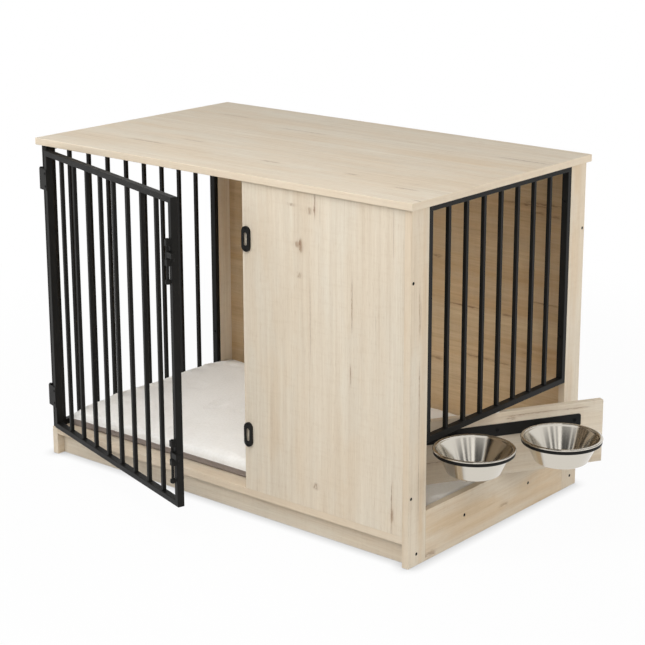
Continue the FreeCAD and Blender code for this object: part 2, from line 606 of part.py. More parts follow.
def make_latch(level, height):
    """Gravity latch: a rod that slides in two lugs, with a barbed tongue and a knob."""
    lug_y = (DOOR_Y[0] - LATCH_LUG_DEPTH, DOOR_Y[0] - LATCH_PLATE_THICKNESS)
    upper_lug = (height + LATCH_UPPER_LUG_RISE, height + LATCH_UPPER_LUG_RISE + LATCH_LUG_HEIGHT)
    lower_lug = (height - LATCH_LOWER_LUG_DROP - LATCH_LUG_HEIGHT, height - LATCH_LOWER_LUG_DROP)
    plate = block(
        about(LATCH_X, LATCH_PLATE_WIDTH), (DOOR_Y[0] - LATCH_PLATE_THICKNESS, DOOR_Y[0]),
        (lower_lug[0], upper_lug[1])
    )
    bracket = plate
    for lug in (upper_lug, lower_lug):
        body = block(about(LATCH_X, LATCH_LUG_WIDTH), lug_y, lug)
        outer = [edge for edge in body.Edges if edge.BoundBox.YMax < lug_y[0] + LATCH_LUG_ROUND]
        bracket = bracket.fuse(body.makeFillet(LATCH_LUG_ROUND, outer))
    bore = drum(LATCH_ROD_RADIUS + LATCH_RUNNING_GAP, LATCH_X, LATCH_Y, (lower_lug[0], upper_lug[1]))
    nodes[f"{level}_latch_bracket"] = hang(bracket.cut(bore).removeSplitter())

    rod_z = (height - LATCH_ROD_TAIL, upper_lug[1] + LATCH_ROD_TIP)
    hub_z = (lower_lug[1] + LATCH_REST_GAP, upper_lug[0] - LATCH_LIFT - LATCH_REST_GAP)
    tongue_top = hub_z[1]
    tongue_z = (tongue_top - LATCH_TONGUE_HEIGHT, tongue_top)
    tongue_back = STRIKE_FRONT - LATCH_TONGUE_GAP
    tongue_y = (tongue_back - LATCH_TONGUE_THICKNESS, tongue_back)
    finger_x = about(STRIKE_X, LATCH_TONGUE_THICKNESS)
    barb_y = (STRIKE_FRONT + STRIKE_FACE + LATCH_BARB_GAP, -HALF_DEPTH - LATCH_BARB_GAP)
    pieces = [
        drum(LATCH_HUB_RADIUS, LATCH_X, LATCH_Y, hub_z),
        block((LATCH_X, finger_x[1]), tongue_y, tongue_z),
        block(finger_x, (tongue_y[0], barb_y[1]), tongue_z),
        block(finger_x, barb_y, (tongue_z[0] - LATCH_BARB_DROP, tongue_z[1])),
    ]
    rod = drum(LATCH_ROD_RADIUS, LATCH_X, LATCH_Y, rod_z).fuse(pieces)
    nodes[f"{level}_latch_rod"] = hang(rod.removeSplitter())

    knob = drum(KNOB_RADIUS, LATCH_X, LATCH_Y, about(rod_z[0], KNOB_HEIGHT))
    knob = knob.makeFillet(KNOB_ROUND, [edge for edge in knob.Edges if edge.Length > KNOB_HEIGHT])
    socket = drum(LATCH_ROD_RADIUS + HOLE_SLACK, LATCH_X, LATCH_Y, (rod_z[0], rod_z[0] + KNOB_HEIGHT))
    nodes[f"{level}_latch_knob"] = hang(knob.cut(socket))


def make_strike(level, height):
    """Hollow strike on the front panel, with an upright slot for the barb of the latch."""
    body = stadium(STRIKE_WIDTH, STRIKE_HEIGHT, STRIKE_X, height, (STRIKE_FRONT, -HALF_DEPTH))
    front = [edge for edge in body.Edges if edge.BoundBox.YMax < STRIKE_FRONT + STRIKE_FACE]
    body = body.makeFillet(STRIKE_EDGE_ROUND, front)
    slot = stadium(
        STRIKE_SLOT_WIDTH, STRIKE_SLOT_HEIGHT, STRIKE_X, height, (STRIKE_FRONT, -HALF_DEPTH)
    )
    slot_z = about(height, STRIKE_SLOT_HEIGHT)
    pocket = block(
        about(STRIKE_X, STRIKE_WIDTH - 2 * STRIKE_FACE), (STRIKE_FRONT + STRIKE_FACE, -HALF_DEPTH),
        (slot_z[0] - STRIKE_POCKET_DROP, slot_z[1])
    )
    nodes[f"{level}_strike"] = body.cut([slot, pocket])


def make_strikes():
    """Both strikes and the screws at their ends."""
    for level, height in zip(LEVELS, LATCH_HEIGHTS):
        make_strike(level, height)
    head = (STRIKE_SCREW_HEAD_RADIUS, STRIKE_SCREW_HEAD_HEIGHT)
    shank = (STRIKE_SCREW_RADIUS, STRIKE_SCREW_LENGTH)
    spread = STRIKE_HEIGHT - 2 * STRIKE_SCREW_MARGIN

    def run(slack):
        return group([
            screw(FreeCAD.Vector(STRIKE_X, STRIKE_FRONT, z), ALONG_Y, head, shank, slack)
            for height in LATCH_HEIGHTS
            for z in about(height, spread)
        ])

    nodes["strike_screws"] = run(0.0)
    drill(["front_panel"] + [f"{level}_strike" for level in LEVELS], run(HOLE_SLACK))


# Feeder, drawn in line with the end of the cabinet and then swung to its resting angle

def swing(shape):
    """Turn a piece of the feeder to the angle at which it stands."""
    return shape.rotated(PIVOT_AXIS, ALONG_Z, -FEEDER_REST_ANGLE)


def make_pivot(end, seat, edge, up):
    """Flanged bush in the cabinet and the pin of the feeder that turns in it.

    seat is the level of the bush's flange on the cabinet, edge the level of the feeder board's
    edge, and up is 1 where the bush lies above the feeder and -1 where it lies below.
    """
    flange_face = edge + up * FEEDER_FLANGE_GAP
    bush_end = seat + up * BUSH_DEPTH
    pin_out = seat + up * PIVOT_PIN_IN_BUSH
    pin_in = pin_out - up * PIVOT_PIN_LENGTH

    def between(radius, first, second):
        return drum(radius, PIVOT_X, 0.0, (min(first, second), max(first, second)))

    sleeve = between(BUSH_RADIUS, seat, bush_end)
    flange = between(BUSH_FLANGE_RADIUS, flange_face, seat)
    bore = between(PIVOT_PIN_RADIUS + PIVOT_RUNNING_GAP, flange_face, bush_end)
    nodes[f"{end}_pivot_bush"] = sleeve.fuse(flange).cut(bore).removeSplitter()
    nodes[f"{end}_pivot_pin"] = swing(between(PIVOT_PIN_RADIUS, pin_in, pin_out))
    drill(["feeder_board"], between(PIVOT_PIN_RADIUS + HOLE_SLACK, pin_in, edge))
    return between(BUSH_RADIUS + BUSH_SLACK, seat, bush_end)


def make_carrier():
    """Steel strip on the feeder board with the two rings that hold the bowls, and its bolts."""
    ring_z = (RING_TOP - RING_HEIGHT, RING_TOP)
    strip_z = about((ring_z[0] + ring_z[1]) / 2, STRIP_HEIGHT)
    strip = block((FEEDER_FACE_X, STRIP_FACE_X), about(0.0, STRIP_LENGTH), strip_z)
    nodes["bowl_carrier_strip"] = rounded(
        strip, STRIP_CORNER_ROUND, lambda box: box.YLength + box.ZLength < STRIP_THICKNESS
    )
    ring_inner = RING_RADIUS - RING_WIDTH
    for side, y in BOWL_SIDES.items():
        ring = drum(RING_RADIUS, BOWL_X, y, ring_z).cut(drum(ring_inner, BOWL_X, y, ring_z))
        ring = rounded(ring, RING_ROUND, lambda box: box.ZLength < RING_HEIGHT / 2)
        arm = block((STRIP_FACE_X, BOWL_X), about(y, RING_ARM_WIDTH), ring_z)
        holder = ring.fuse(arm.cut(drum(ring_inner + RING_WIDTH / 2, BOWL_X, y, ring_z)))
        nodes[f"{side}_bowl_ring"] = swing(holder.removeSplitter())

    bolt_y = STRIP_LENGTH / 2 - CARRIER_BOLT_MARGIN
    bolt_z = (strip_z[0] + strip_z[1]) / 2
    grip = STRIP_THICKNESS + BOARD
    head = (CARRIER_BOLT_HEAD_RADIUS, CARRIER_BOLT_HEAD_HEIGHT)
    shank = (CARRIER_BOLT_RADIUS, grip + CARRIER_NUT_HEIGHT)
    seats = [FreeCAD.Vector(STRIP_FACE_X, y, bolt_z) for y in (-bolt_y, 0.0, bolt_y)]
    nodes["bowl_carrier_bolts"] = swing(group([screw(seat, -ALONG_X, head, shank) for seat in seats]))
    holes = group([screw(seat, -ALONG_X, head, shank, HOLE_SLACK) for seat in seats])
    nuts = [hexagon_nut(FreeCAD.Vector(PIVOT_X - BOARD / 2, seat.y, seat.z)) for seat in seats]
    nodes["bowl_carrier_nuts"] = swing(group([nut.cut(holes) for nut in nuts]))
    drill(["feeder_board", "bowl_carrier_strip"], holes)


def hexagon_nut(seat):
    """Hexagon nut that lies on the inner face of the feeder board."""
    corners = []
    for index in range(CARRIER_NUT_SIDES + 1):
        angle = 2 * math.pi * index / CARRIER_NUT_SIDES
        offset = FreeCAD.Vector(0, CARRIER_NUT_RADIUS * math.cos(angle), CARRIER_NUT_RADIUS * math.sin(angle))
        corners.append(seat + offset)
    return Part.Face(Part.makePolygon(corners)).extrude(ALONG_X * -CARRIER_NUT_HEIGHT)


def make_feeder():
    """Swivelling feeder board with its pins, bushes and bowl carrier."""
    board_run = (-FEEDER_HALF_LENGTH, FEEDER_HALF_LENGTH)
    nodes["feeder_board"] = eased(about(PIVOT_X, BOARD), board_run, FEEDER_Z)
    upper_hole = make_pivot("upper", GRILLE_BOTTOM, FEEDER_Z[1], 1)
    lower_hole = make_pivot("lower", LOWER_BOARD_HEIGHT, FEEDER_Z[0], -1)
    drill(["right_grille_frame"], upper_hole)
    drill(["right_lower_board"], lower_hole)
    make_carrier()
    for name in ("feeder_board", "bowl_carrier_strip"):
        nodes[name] = swing(nodes[name])


def bowl_profile():
    """Half section of a bowl as a face in the XZ plane, with the rim's underside at height 0."""
    wall = BOWL_WALL_DIAMETER / 2
    base = BOWL_BASE_DIAMETER / 2
    bead = BOWL_RIM_DIAMETER / 2 - BOWL_BEAD_RADIUS
    sheet = BOWL_SHEET
    floor = -BOWL_DEPTH
    slope = math.atan2(wall - base, BOWL_DEPTH)

    def shell_line(inset):
        """Base centre, start and end of the round at the base, and top of the wall."""
        turn = math.pi / 2 - slope
        radius = BOWL_BASE_ROUND - inset
        level = floor + inset
        run = radius * math.tan(turn / 2)
        foot = base - inset / math.cos(slope) + inset * math.tan(slope)
        start = (foot - run, level)
        end = (foot + run * math.sin(slope), level + run * math.cos(slope))
        centre = (start[0], level + radius)
        middle = (centre[0] + radius * math.sin(turn / 2), centre[1] - radius * math.cos(turn / 2))
        return start, middle, end

    def point(place):
        return FreeCAD.Vector(place[0], 0.0, place[1])

    outer_start, outer_middle, outer_end = shell_line(0.0)
    inner_start, inner_middle, inner_end = shell_line(sheet)
    rim = [
        outer_end, (wall, 0.0), (bead, 0.0), (bead, sheet), (wall - sheet / math.cos(slope), sheet), inner_end
    ]
    edges = [
        Part.LineSegment(point((0.0, floor)), point(outer_start)).toShape(),
        Part.Arc(point(outer_start), point(outer_middle), point(outer_end)).toShape(),
    ]
    edges += [Part.LineSegment(point(a), point(b)).toShape() for a, b in zip(rim, rim[1:])]
    edges += [
        Part.Arc(point(inner_end), point(inner_middle), point(inner_start)).toShape(),
        Part.LineSegment(point(inner_start), point((0.0, floor + sheet))).toShape(),
        Part.LineSegment(point((0.0, floor + sheet)), point((0.0, floor))).toShape(),
    ]
    return Part.Face(Part.Wire(edges))


def make_bowls():
    """Two spun bowls with beaded rims, hanging in the rings by their rims."""
    shell = bowl_profile().revolve(FreeCAD.Vector(0, 0, 0), ALONG_Z, 360.0)
    bead_radius = BOWL_RIM_DIAMETER / 2 - BOWL_BEAD_RADIUS
    bead = Part.makeTorus(bead_radius, BOWL_BEAD_RADIUS, FreeCAD.Vector(0, 0, BOWL_BEAD_RADIUS), ALONG_Z)
    bowl = shell.fuse(bead).removeSplitter()
    for side, y in BOWL_SIDES.items():
        seat = FreeCAD.Vector(BOWL_X, y, RING_TOP + BOWL_SEAT_GAP)
        nodes[f"{side}_bowl"] = swing(bowl.translated(seat))


# Mat

def mat_outline(inset, z):
    """Outline of the mat at a level: rounded corners, and sides drawn in between them."""
    low_x = -INNER_X + MAT_SIDE_GAP + inset
    high_x = INNER_X - MAT_SIDE_GAP - inset
    low_y = -HALF_DEPTH + MAT_FRONT_SETBACK + inset
    high_y = PANEL_INNER_Y - MAT_REAR_GAP - inset
    corner = MAT_CORNER_RADIUS
    cut = corner * (1 - math.sqrt(0.5))
    middle_x = (low_x + high_x) / 2
    middle_y = (low_y + high_y) / 2
    stops = [
        (low_x + corner, low_y), (middle_x, low_y + MAT_DRAW_IN), (high_x - corner, low_y),
        (high_x - cut, low_y + cut),
        (high_x, low_y + corner), (high_x - MAT_DRAW_IN, middle_y), (high_x, high_y - corner),
        (high_x - cut, high_y - cut),
        (high_x - corner, high_y), (middle_x, high_y - MAT_DRAW_IN), (low_x + corner, high_y),
        (low_x + cut, high_y - cut),
        (low_x, high_y - corner), (low_x + MAT_DRAW_IN, middle_y), (low_x, low_y + corner),
        (low_x + cut, low_y + cut),
    ]
    points = [FreeCAD.Vector(x, y, z) for x, y in stops]
    points.append(points[0])
    arcs = [Part.Arc(*points[index:index + 3]).toShape() for index in range(0, len(stops), 2)]
    return Part.Wire(arcs)


def make_mat():
    """Stuffed mat: undercut at the floor, widest at its seam, crowned in the middle."""
    crown = MAT_THICKNESS - MAT_SEAM_HEIGHT
    below = [(0.0, MAT_UNDERCUT), (MAT_ROLL_HEIGHT, MAT_ROLL_INSET), (MAT_SEAM_HEIGHT, 0.0)]
    above = [
        (MAT_SEAM_HEIGHT + crown * math.sin(math.radians(angle)),
         MAT_CROWN_INSET * (1 - math.cos(math.radians(angle))))
        for angle in MAT_CROWN_ANGLES
    ]
    outlines = [mat_outline(inset, FLOOR_TOP + rise) for rise, inset in below + above]
    nodes["floor_mat"] = Part.makeLoft(outlines, True, True)


def main():
    """Build every piece and write one STEP file for each node."""
    make_boards()
    make_dowels()
    make_side_screws()
    make_right_grille()
    make_left_grille()
    make_door()
    make_hinges()
    for level, height in zip(LEVELS, LATCH_HEIGHTS):
        make_latch(level, height)
    make_strikes()
    make_feeder()
    make_bowls()
    make_mat()
    os.makedirs("parts", exist_ok=True)
    for name, shape in nodes.items():
        shape.exportStep(f"parts/{name}.step")
        print(f"{name}: {len(shape.Solids)} solids, {shape.Volume / 1000.0:.2f} cm3, valid {shape.isValid()}")


main()
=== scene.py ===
"""Studio scene of a furniture-style pet crate.

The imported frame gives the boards, the tube frames and every other rigid piece. This script gives
them their finishes, adds the stuffed mat, the spun bowls, the heads of the fasteners and the weld
beads, and sets up a plain pale studio around them. Lengths are in metres.
"""
from __future__ import annotations

import json
import logging
import math
from dataclasses import dataclass, field
from enum import Enum
from typing import Any, Sequence

import bmesh
import bpy
from mathutils import Matrix, Vector, noise

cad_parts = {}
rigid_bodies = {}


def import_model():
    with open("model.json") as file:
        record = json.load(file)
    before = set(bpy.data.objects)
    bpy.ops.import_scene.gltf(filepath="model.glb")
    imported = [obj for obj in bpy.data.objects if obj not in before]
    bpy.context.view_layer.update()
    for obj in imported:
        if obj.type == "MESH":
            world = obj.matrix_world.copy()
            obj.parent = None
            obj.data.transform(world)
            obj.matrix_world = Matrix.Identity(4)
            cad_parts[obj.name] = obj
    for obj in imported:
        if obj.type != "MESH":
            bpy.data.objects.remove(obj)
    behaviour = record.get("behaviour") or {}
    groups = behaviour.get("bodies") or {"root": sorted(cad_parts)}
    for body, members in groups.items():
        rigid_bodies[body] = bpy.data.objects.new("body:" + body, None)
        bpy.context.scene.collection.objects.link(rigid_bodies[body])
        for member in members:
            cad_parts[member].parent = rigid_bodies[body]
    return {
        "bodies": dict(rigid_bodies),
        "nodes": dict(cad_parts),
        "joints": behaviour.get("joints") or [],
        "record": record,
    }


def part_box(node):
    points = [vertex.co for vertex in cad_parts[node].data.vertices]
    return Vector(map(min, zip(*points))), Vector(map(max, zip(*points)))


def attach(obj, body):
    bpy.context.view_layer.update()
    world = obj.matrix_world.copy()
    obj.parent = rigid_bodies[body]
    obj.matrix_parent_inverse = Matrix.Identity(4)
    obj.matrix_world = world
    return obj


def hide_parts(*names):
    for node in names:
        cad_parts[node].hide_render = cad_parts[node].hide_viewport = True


LOG = logging.getLogger("pet_crate")
MM = 0.001
SAME_POINT = 0.005 * MM
SAME_END = 0.02 * MM
CLOUD_LEVELS = (0.35, 0.75)
DOOR_TURN = math.radians(-16.7)
FEEDER_TURN = math.radians(-30.0)
RIGHT = Vector((1.0, 0.0, 0.0))
BACK = Vector((0.0, 1.0, 0.0))
UP = Vector((0.0, 0.0, 1.0))

Colour = tuple[float, float, float]
Profile = list[tuple[float, float]]
Socket = bpy.types.NodeSocket


def opaque(colour: Colour) -> tuple[float, float, float, float]:
    """Colour with full alpha, as sockets want it."""
    return (*colour, 1.0)


def turned(direction: Vector, angle: float) -> Vector:
    """Direction turned about the upright axis."""
    return Matrix.Rotation(angle, 3, "Z") @ direction


class ShaderTree:
    """Builds the nodes of a material or of the world, a node at a time."""

    def __init__(self, owner: bpy.types.Material | bpy.types.World) -> None:
        """Take over the owner's nodes.

        Args:
            owner: The material or the world.
        """
        owner.use_nodes = True
        self.nodes = owner.node_tree.nodes
        self.links = owner.node_tree.links

    def feed(self, socket: Socket, value: Any) -> None:
        """Link a socket, or set its value.

        Args:
            socket: The input to feed.
            value: Another socket, a number or a tuple.
        """
        if isinstance(value, Socket):
            self.links.new(value, socket)
        else:
            socket.default_value = value

    def add(self, kind: str, sockets: dict[Any, Any], **settings: Any) -> bpy.types.Node:
        """Add a node.

        Args:
            kind: Blender's name of the node type.
            sockets: What feeds each input, by name or index.
            settings: Properties of the node.

        Returns:
            The new node.
        """
        node = self.nodes.new(kind)
        for name, value in settings.items():
            setattr(node, name, value)
        for name, value in sockets.items():
            self.feed(node.inputs[name], value)
        return node

    def math(self, operation: str, first: Any, second: Any = 0.0, third: Any = 0.0) -> Socket:
        """Arithmetic on numbers.

        Args:
            operation: Name of the operation.
            first: First operand.
            second: Second operand, where there is one.
            third: Third operand, where there is one.

        Returns:
            The result.
        """
        node = self.add("ShaderNodeMath", {0: first, 1: second, 2: third}, operation=operation)
        return node.outputs[0]

    def mix(self, factor: Any, first: Any, second: Any) -> Socket:
        """Number between two numbers."""
        return self.add("ShaderNodeMix", {0: factor, 2: first, 3: second}, data_type="FLOAT").outputs[0]

    def blend(self, factor: Any, first: Any, second: Any) -> Socket:
        """Colour between two colours."""
        return self.add("ShaderNodeMix", {0: factor, 6: first, 7: second}, data_type="RGBA").outputs[2]

    def window(self, value: Any, low: float, high: float) -> Socket:
        """Smooth step from 0 at low to 1 at high."""
        sockets = {"Value": value, "From Min": low, "From Max": high}
        return self.add("ShaderNodeMapRange", sockets, interpolation_type="SMOOTHSTEP").outputs[0]

    def combine(self, x: Any, y: Any, z: Any) -> Socket:
        """Vector of three numbers."""
        return self.add("ShaderNodeCombineXYZ", {0: x, 1: y, 2: z}).outputs[0]

    def split(self, vector: Socket) -> list[Socket]:
        """The three numbers of a vector."""
        return list(self.add("ShaderNodeSeparateXYZ", {0: vector}).outputs)

    def noise(self, vector: Any, scale: float, detail: float = 2.0, roughness: float = 0.5) -> Socket:
        """Noise between 0 and 1.

        Args:
            vector: Where to read the noise.
            scale: Cells per unit.
            detail: Number of finer octaves.
            roughness: Weight of the finer octaves.

        Returns:
            The noise.
        """
        sockets = {"Vector": vector, "Scale": scale, "Detail": detail, "Roughness": roughness}
        return self.add("ShaderNodeTexNoise", sockets).outputs[0]


class SurfaceTree(ShaderTree):
    """Builds one material around its surface shader."""

    def __init__(self, name: str) -> None:
        """Start a plain surface.

        Args:
            name: Name of the material.
        """
        self.material = bpy.data.materials.new(name)
        super().__init__(self.material)
        self.surface = self.nodes["Principled BSDF"]

    def coordinates(self, kind: str, origin: Sequence[float], turn: float) -> Socket:
        """Coordinates seen from an origin and turned about the upright axis.

        Args:
            kind: Output of the Texture Coordinate node.
            origin: Point that becomes zero.
            turn: Angle of the pattern about the upright axis, in radians.

        Returns:
            The coordinates.
        """
        source = self.add("ShaderNodeTexCoord", {}).outputs[kind]
        sockets = {"Vector": source, "Location": tuple(origin), "Rotation": (0.0, 0.0, turn)}
        return self.add("ShaderNodeMapping", sockets, vector_type="TEXTURE").outputs[0]

    def place(self, origin: Sequence[float] = (0.0, 0.0, 0.0), turn: float = 0.0) -> Socket:
        """Place on the object, from an origin and in turned axes."""
        return self.coordinates("Object", origin, turn)

    def facing(self, turn: float = 0.0) -> Socket:
        """Direction in which the surface faces, in the same turned axes as place."""
        return self.coordinates("Normal", (0.0, 0.0, 0.0), turn)

    def bump(self, height: Socket, distance: float, strength: float) -> None:
        """Raise the surface by a height between 0 and 1.

        Args:
            height: The height.
            distance: Metres for a height of 1.
            strength: Share of the effect.
        """
        sockets = {"Height": height, "Distance": distance, "Strength": strength}
        self.feed(self.surface.inputs["Normal"], self.add("ShaderNodeBump", sockets).outputs[0])

    def set(self, **values: Any) -> None:
        """Feed sockets of the surface, with underscores for the spaces in their names."""
        for name, value in values.items():
            self.feed(self.surface.inputs[name.replace("_", " ")], value)


# Finishes

class Axis(Enum):
    """Direction in the crate's frame."""

    LENGTH = 0
    DEPTH = 1
    UPRIGHT = 2


@dataclass(frozen=True)
class Mark:
    """Dark crack or knot in the veneer, on the face of one board.

    along and across are its middle in the board's own directions, with and across the grain.
    """

    along: float
    across: float
    length: float
    width: float
    depth: float


@dataclass(frozen=True)
class Board:
    """One board: its node, the direction of its grain, its cut of the decor and the marks on its face.

    warmth moves the decor from grey cream, at 0, towards tan, at 1. It is partly the board's own tone and
    partly painted shade: it is set higher, so warmer and darker, on boards that stand in shade, and lower
    on the feeder board to lighten it.
    """

    node: str
    grain: Axis
    seed: float
    warmth_and_shade: float
    marks: tuple[Mark, ...] = ()


@dataclass(frozen=True)
class Layer:
    """Noise that is drawn out along the grain.

    along and across are its cells per metre, detail and roughness its finer octaves. Its patches
    start to show at the noise level low and show fully at high.
    """

    along: float
    across: float
    detail: float
    roughness: float = 0.5
    low: float = 0.5
    high: float = 1.0


@dataclass(frozen=True)
class GrainField:
    """Distances along the grain, across it and through a board, from which its layers are read."""

    tree: ShaderTree
    run: Socket
    side: Socket
    rest: Socket

    def noise(self, layer: Layer) -> Socket:
        """Noise of one layer.

        Args:
            layer: The layer.

        Returns:
            The noise, between 0 and 1.
        """
        scales = ((self.run, layer.along), (self.side, layer.across), (self.rest, layer.across))
        vector = self.tree.combine(*(self.tree.math("MULTIPLY", value, scale) for value, scale in scales))
        return self.tree.noise(vector, 1.0, layer.detail, layer.roughness)

    def lifted(self, layer: Layer) -> Socket:
        """Noise of one layer above its low level, below 0 where it lies under it."""
        return self.tree.math("SUBTRACT", self.noise(layer), layer.low)

    def patches(self, layer: Layer, shift: float = 0.0) -> Socket:
        """Patches of one layer, with its levels lowered by a shift."""
        return self.tree.window(self.noise(layer), layer.low - shift, layer.high - shift)


@dataclass(frozen=True)
class OakFinish:
    """Pale oak decor: soft bands, long streaks, fine flecks and pores, and a few brown cracks."""

    cream: Colour = (0.720, 0.640, 0.518)
    ash: Colour = (0.705, 0.650, 0.545)
    blush: Colour = (0.692, 0.590, 0.455)
    tan: Colour = (0.655, 0.515, 0.350)
    deep: Colour = (0.410, 0.280, 0.162)
    rust: Colour = (0.395, 0.245, 0.150)
    crack: Colour = (0.195, 0.106, 0.055)
    edge: Colour = (0.675, 0.560, 0.420)
    roughness: float = 0.54
    roughness_spread: float = 0.12
    specular: float = 0.22
    relief_height: float = 0.15 * MM
    relief_share: float = 0.5
    mottle_share: float = 0.60
    streak_share: float = 0.42
    line_share: float = 0.46
    fibre_share: float = 0.36
    fleck_share: float = 0.12
    pore_share: float = 0.18
    pore_depth: float = 0.5
    ripple_share: float = 0.05
    hairline_share: float = 0.5
    hairline_levels: tuple[float, float] = (0.008, 0.001)
    fade_range: tuple[float, float] = (0.2, 1.8)
    warmth_and_shade_shift: float = 0.30
    wander: float = 0.010
    wander_scales: tuple[float, float] = (2.2, 6.0)
    edge_share: float = 0.40
    facing_levels: tuple[float, float] = (0.6, 0.8)
    fray_scales: tuple[float, float] = (70.0, 260.0)
    fray_width: float = 3.0
    halo_width: float = 3.2
    halo_share: float = 0.35

    FLUSH = Layer(0.9, 11.0, 2.0, 0.5, 0.36, 0.64)
    TANNED = Layer(0.8, 17.0, 3.0, 0.6, 0.66, 0.92)
    MOTTLE = Layer(4.5, 14.0, 4.0, 0.62, 0.42, 0.64)
    FADE = Layer(3.0, 24.0, 3.0)
    STREAKS = Layer(1.5, 60.0, 4.0, 0.62, 0.38)
    LINES = Layer(3.5, 210.0, 3.0, 0.6, 0.40)
    FIBRE = Layer(14.0, 640.0, 3.0, 0.65, 0.40)
    FLECKS = Layer(52.0, 420.0, 1.0, 0.5, 0.58, 0.74)
    PORES = Layer(38.0, 1250.0, 1.0, 0.5, 0.60, 0.74)
    RIPPLE = Layer(170.0, 26.0, 2.0, 0.5, 0.50, 0.70)
    THREAD = Layer(0.9, 15.0, 2.0)
    BROKEN = Layer(6.0, 30.0, 3.0, 0.5, 0.60, 0.74)

    def material(
        self, board: Board, axes: tuple[Axis, Axis, Axis], origin: Sequence[float] = (0.0, 0.0, 0.0),
        turn: float = 0.0
    ) -> bpy.types.Material:
        """Make the material of one board.

        Args:
            board: The board.
            axes: Directions along the grain, across it and through the thickness.
            origin: Point from which the board's marks are measured.
            turn: Angle of the board about the upright axis, in radians.

        Returns:
            The material.
        """
        tree = SurfaceTree(f"oak_{board.node}")
        point = tree.split(tree.place(origin, turn))
        normal = tree.split(tree.facing(turn))
        along, across, through = (point[axis.value] for axis in axes)
        on_end, on_face = (
            tree.window(tree.math("ABSOLUTE", normal[axis.value]), *self.facing_levels)
            for axis in (axes[0], axes[2])
        )
        run = tree.mix(on_end, along, across)
        side = tree.mix(on_end, across, through)
        rest = tree.mix(on_end, through, along)
        colour, relief = self.grain(tree, (run, side, rest), board)
        edge_tint = tree.math("MULTIPLY", tree.math("SUBTRACT", 1.0, on_face), self.edge_share)
        colour = tree.blend(edge_tint, colour, opaque(self.edge))
        for mark in board.marks:
            colour = self.stain(tree, colour, (along, across), on_face, mark)
        smoothest = self.roughness - self.roughness_spread / 2
        tree.set(Base_Color=colour, Specular_IOR_Level=self.specular)
        tree.set(Roughness=tree.math("MULTIPLY_ADD", relief, self.roughness_spread, smoothest))
        tree.bump(relief, self.relief_height, self.relief_share)
        return tree.material

    def grain(
        self, tree: ShaderTree, place: tuple[Socket, Socket, Socket], board: Board
    ) -> tuple[Socket, Socket]:
        """Lay bands, streaks, flecks and pores along the grain.

        Args:
            tree: Material to build in.
            place: Distances along the grain, across it and through the board.
            board: The board, whose seed chooses its cut of the decor and whose warmth, partly painted
                shade, moves it towards tan.

        Returns:
            The colour and the relief.
        """
        run, side, rest = place
        shifted = tree.math("ADD", side, board.seed)
        slow = zip((run, shifted), self.wander_scales)
        stretched = (tree.math("MULTIPLY", value, scale) for value, scale in slow)
        bend = tree.noise(tree.combine(*stretched, rest), 1.0, 3.0)
        lines = GrainField(tree, run, tree.math("MULTIPLY_ADD", bend, self.wander, shifted), rest)
        fibre = lines.noise(self.FIBRE)
        pores = lines.patches(self.PORES)
        thread = tree.window(tree.math("ABSOLUTE", lines.lifted(self.THREAD)), *self.hairline_levels)
        hairline = tree.math("MULTIPLY", thread, lines.patches(self.BROKEN))
        faint, full = self.fade_range
        fade = tree.math("MULTIPLY_ADD", lines.noise(self.FADE), full - faint, faint)

        colour = tree.blend(lines.patches(self.FLUSH), opaque(self.cream), opaque(self.blush))
        # Painted shade in part: a board's warmth, set higher where it stands in shade, moves it towards
        # tan.
        tanned = lines.patches(self.TANNED, self.warmth_and_shade_shift * board.warmth_and_shade)
        colour = tree.blend(tanned, colour, opaque(self.tan))
        mottle = tree.math("MULTIPLY", lines.patches(self.MOTTLE), self.mottle_share)
        colour = tree.blend(mottle, colour, opaque(self.ash))
        shade = tree.math("MULTIPLY", lines.lifted(self.STREAKS), self.streak_share)
        shade = tree.math("MULTIPLY_ADD", lines.lifted(self.LINES), self.line_share, shade)
        shade = tree.math("MULTIPLY", shade, fade)
        fine_layers = (
            (tree.math("SUBTRACT", fibre, self.FIBRE.low), self.fibre_share),
            (lines.patches(self.FLECKS), self.fleck_share),
            (pores, self.pore_share),
            (lines.patches(self.RIPPLE), self.ripple_share),
        )
        for strength, share in fine_layers:
            shade = tree.math("MULTIPLY_ADD", strength, share, shade)
        colour = tree.blend(shade, colour, opaque(self.deep))
        hairline = tree.math("MULTIPLY", hairline, self.hairline_share)
        colour = tree.blend(hairline, colour, opaque(self.crack))
        return colour, tree.math("MULTIPLY_ADD", pores, -self.pore_depth, fibre)

    def stain(
        self, tree: ShaderTree, colour: Socket, place: tuple[Socket, Socket], on_face: Socket, mark: Mark
    ) -> Socket:
        """Draw a mark: a frayed dark core with a soft rusty halo.

        Args:
            tree: Material to build in.
            colour: Colour of the wood around it.
            place: Distances along and across the grain.
            on_face: 1 on the faces of the board, 0 on its edges.
            mark: The mark.

        Returns:
            The colour with the mark.
        """
        along, across = place
        frayed = (tree.math("MULTIPLY", value, scale) for value, scale in zip(place, self.fray_scales))
        vector = tree.combine(*frayed, 10.0 * mark.length)
        fray = tree.math("SUBTRACT", tree.noise(vector, 1.0, 3.0, 0.65), 0.5)
        drift = tree.math("MULTIPLY_ADD", fray, self.fray_width * mark.width, across)
        reach = tree.math("DIVIDE", tree.math("SUBTRACT", along, mark.along), mark.length / 2)
        spread = tree.math("DIVIDE", tree.math("SUBTRACT", drift, mark.across), mark.width / 2)
        taper = tree.math("POWER", tree.math("ABSOLUTE", reach), 4.0)
        ragged = tree.math("MULTIPLY_ADD", fray, 2.0, 0.85)

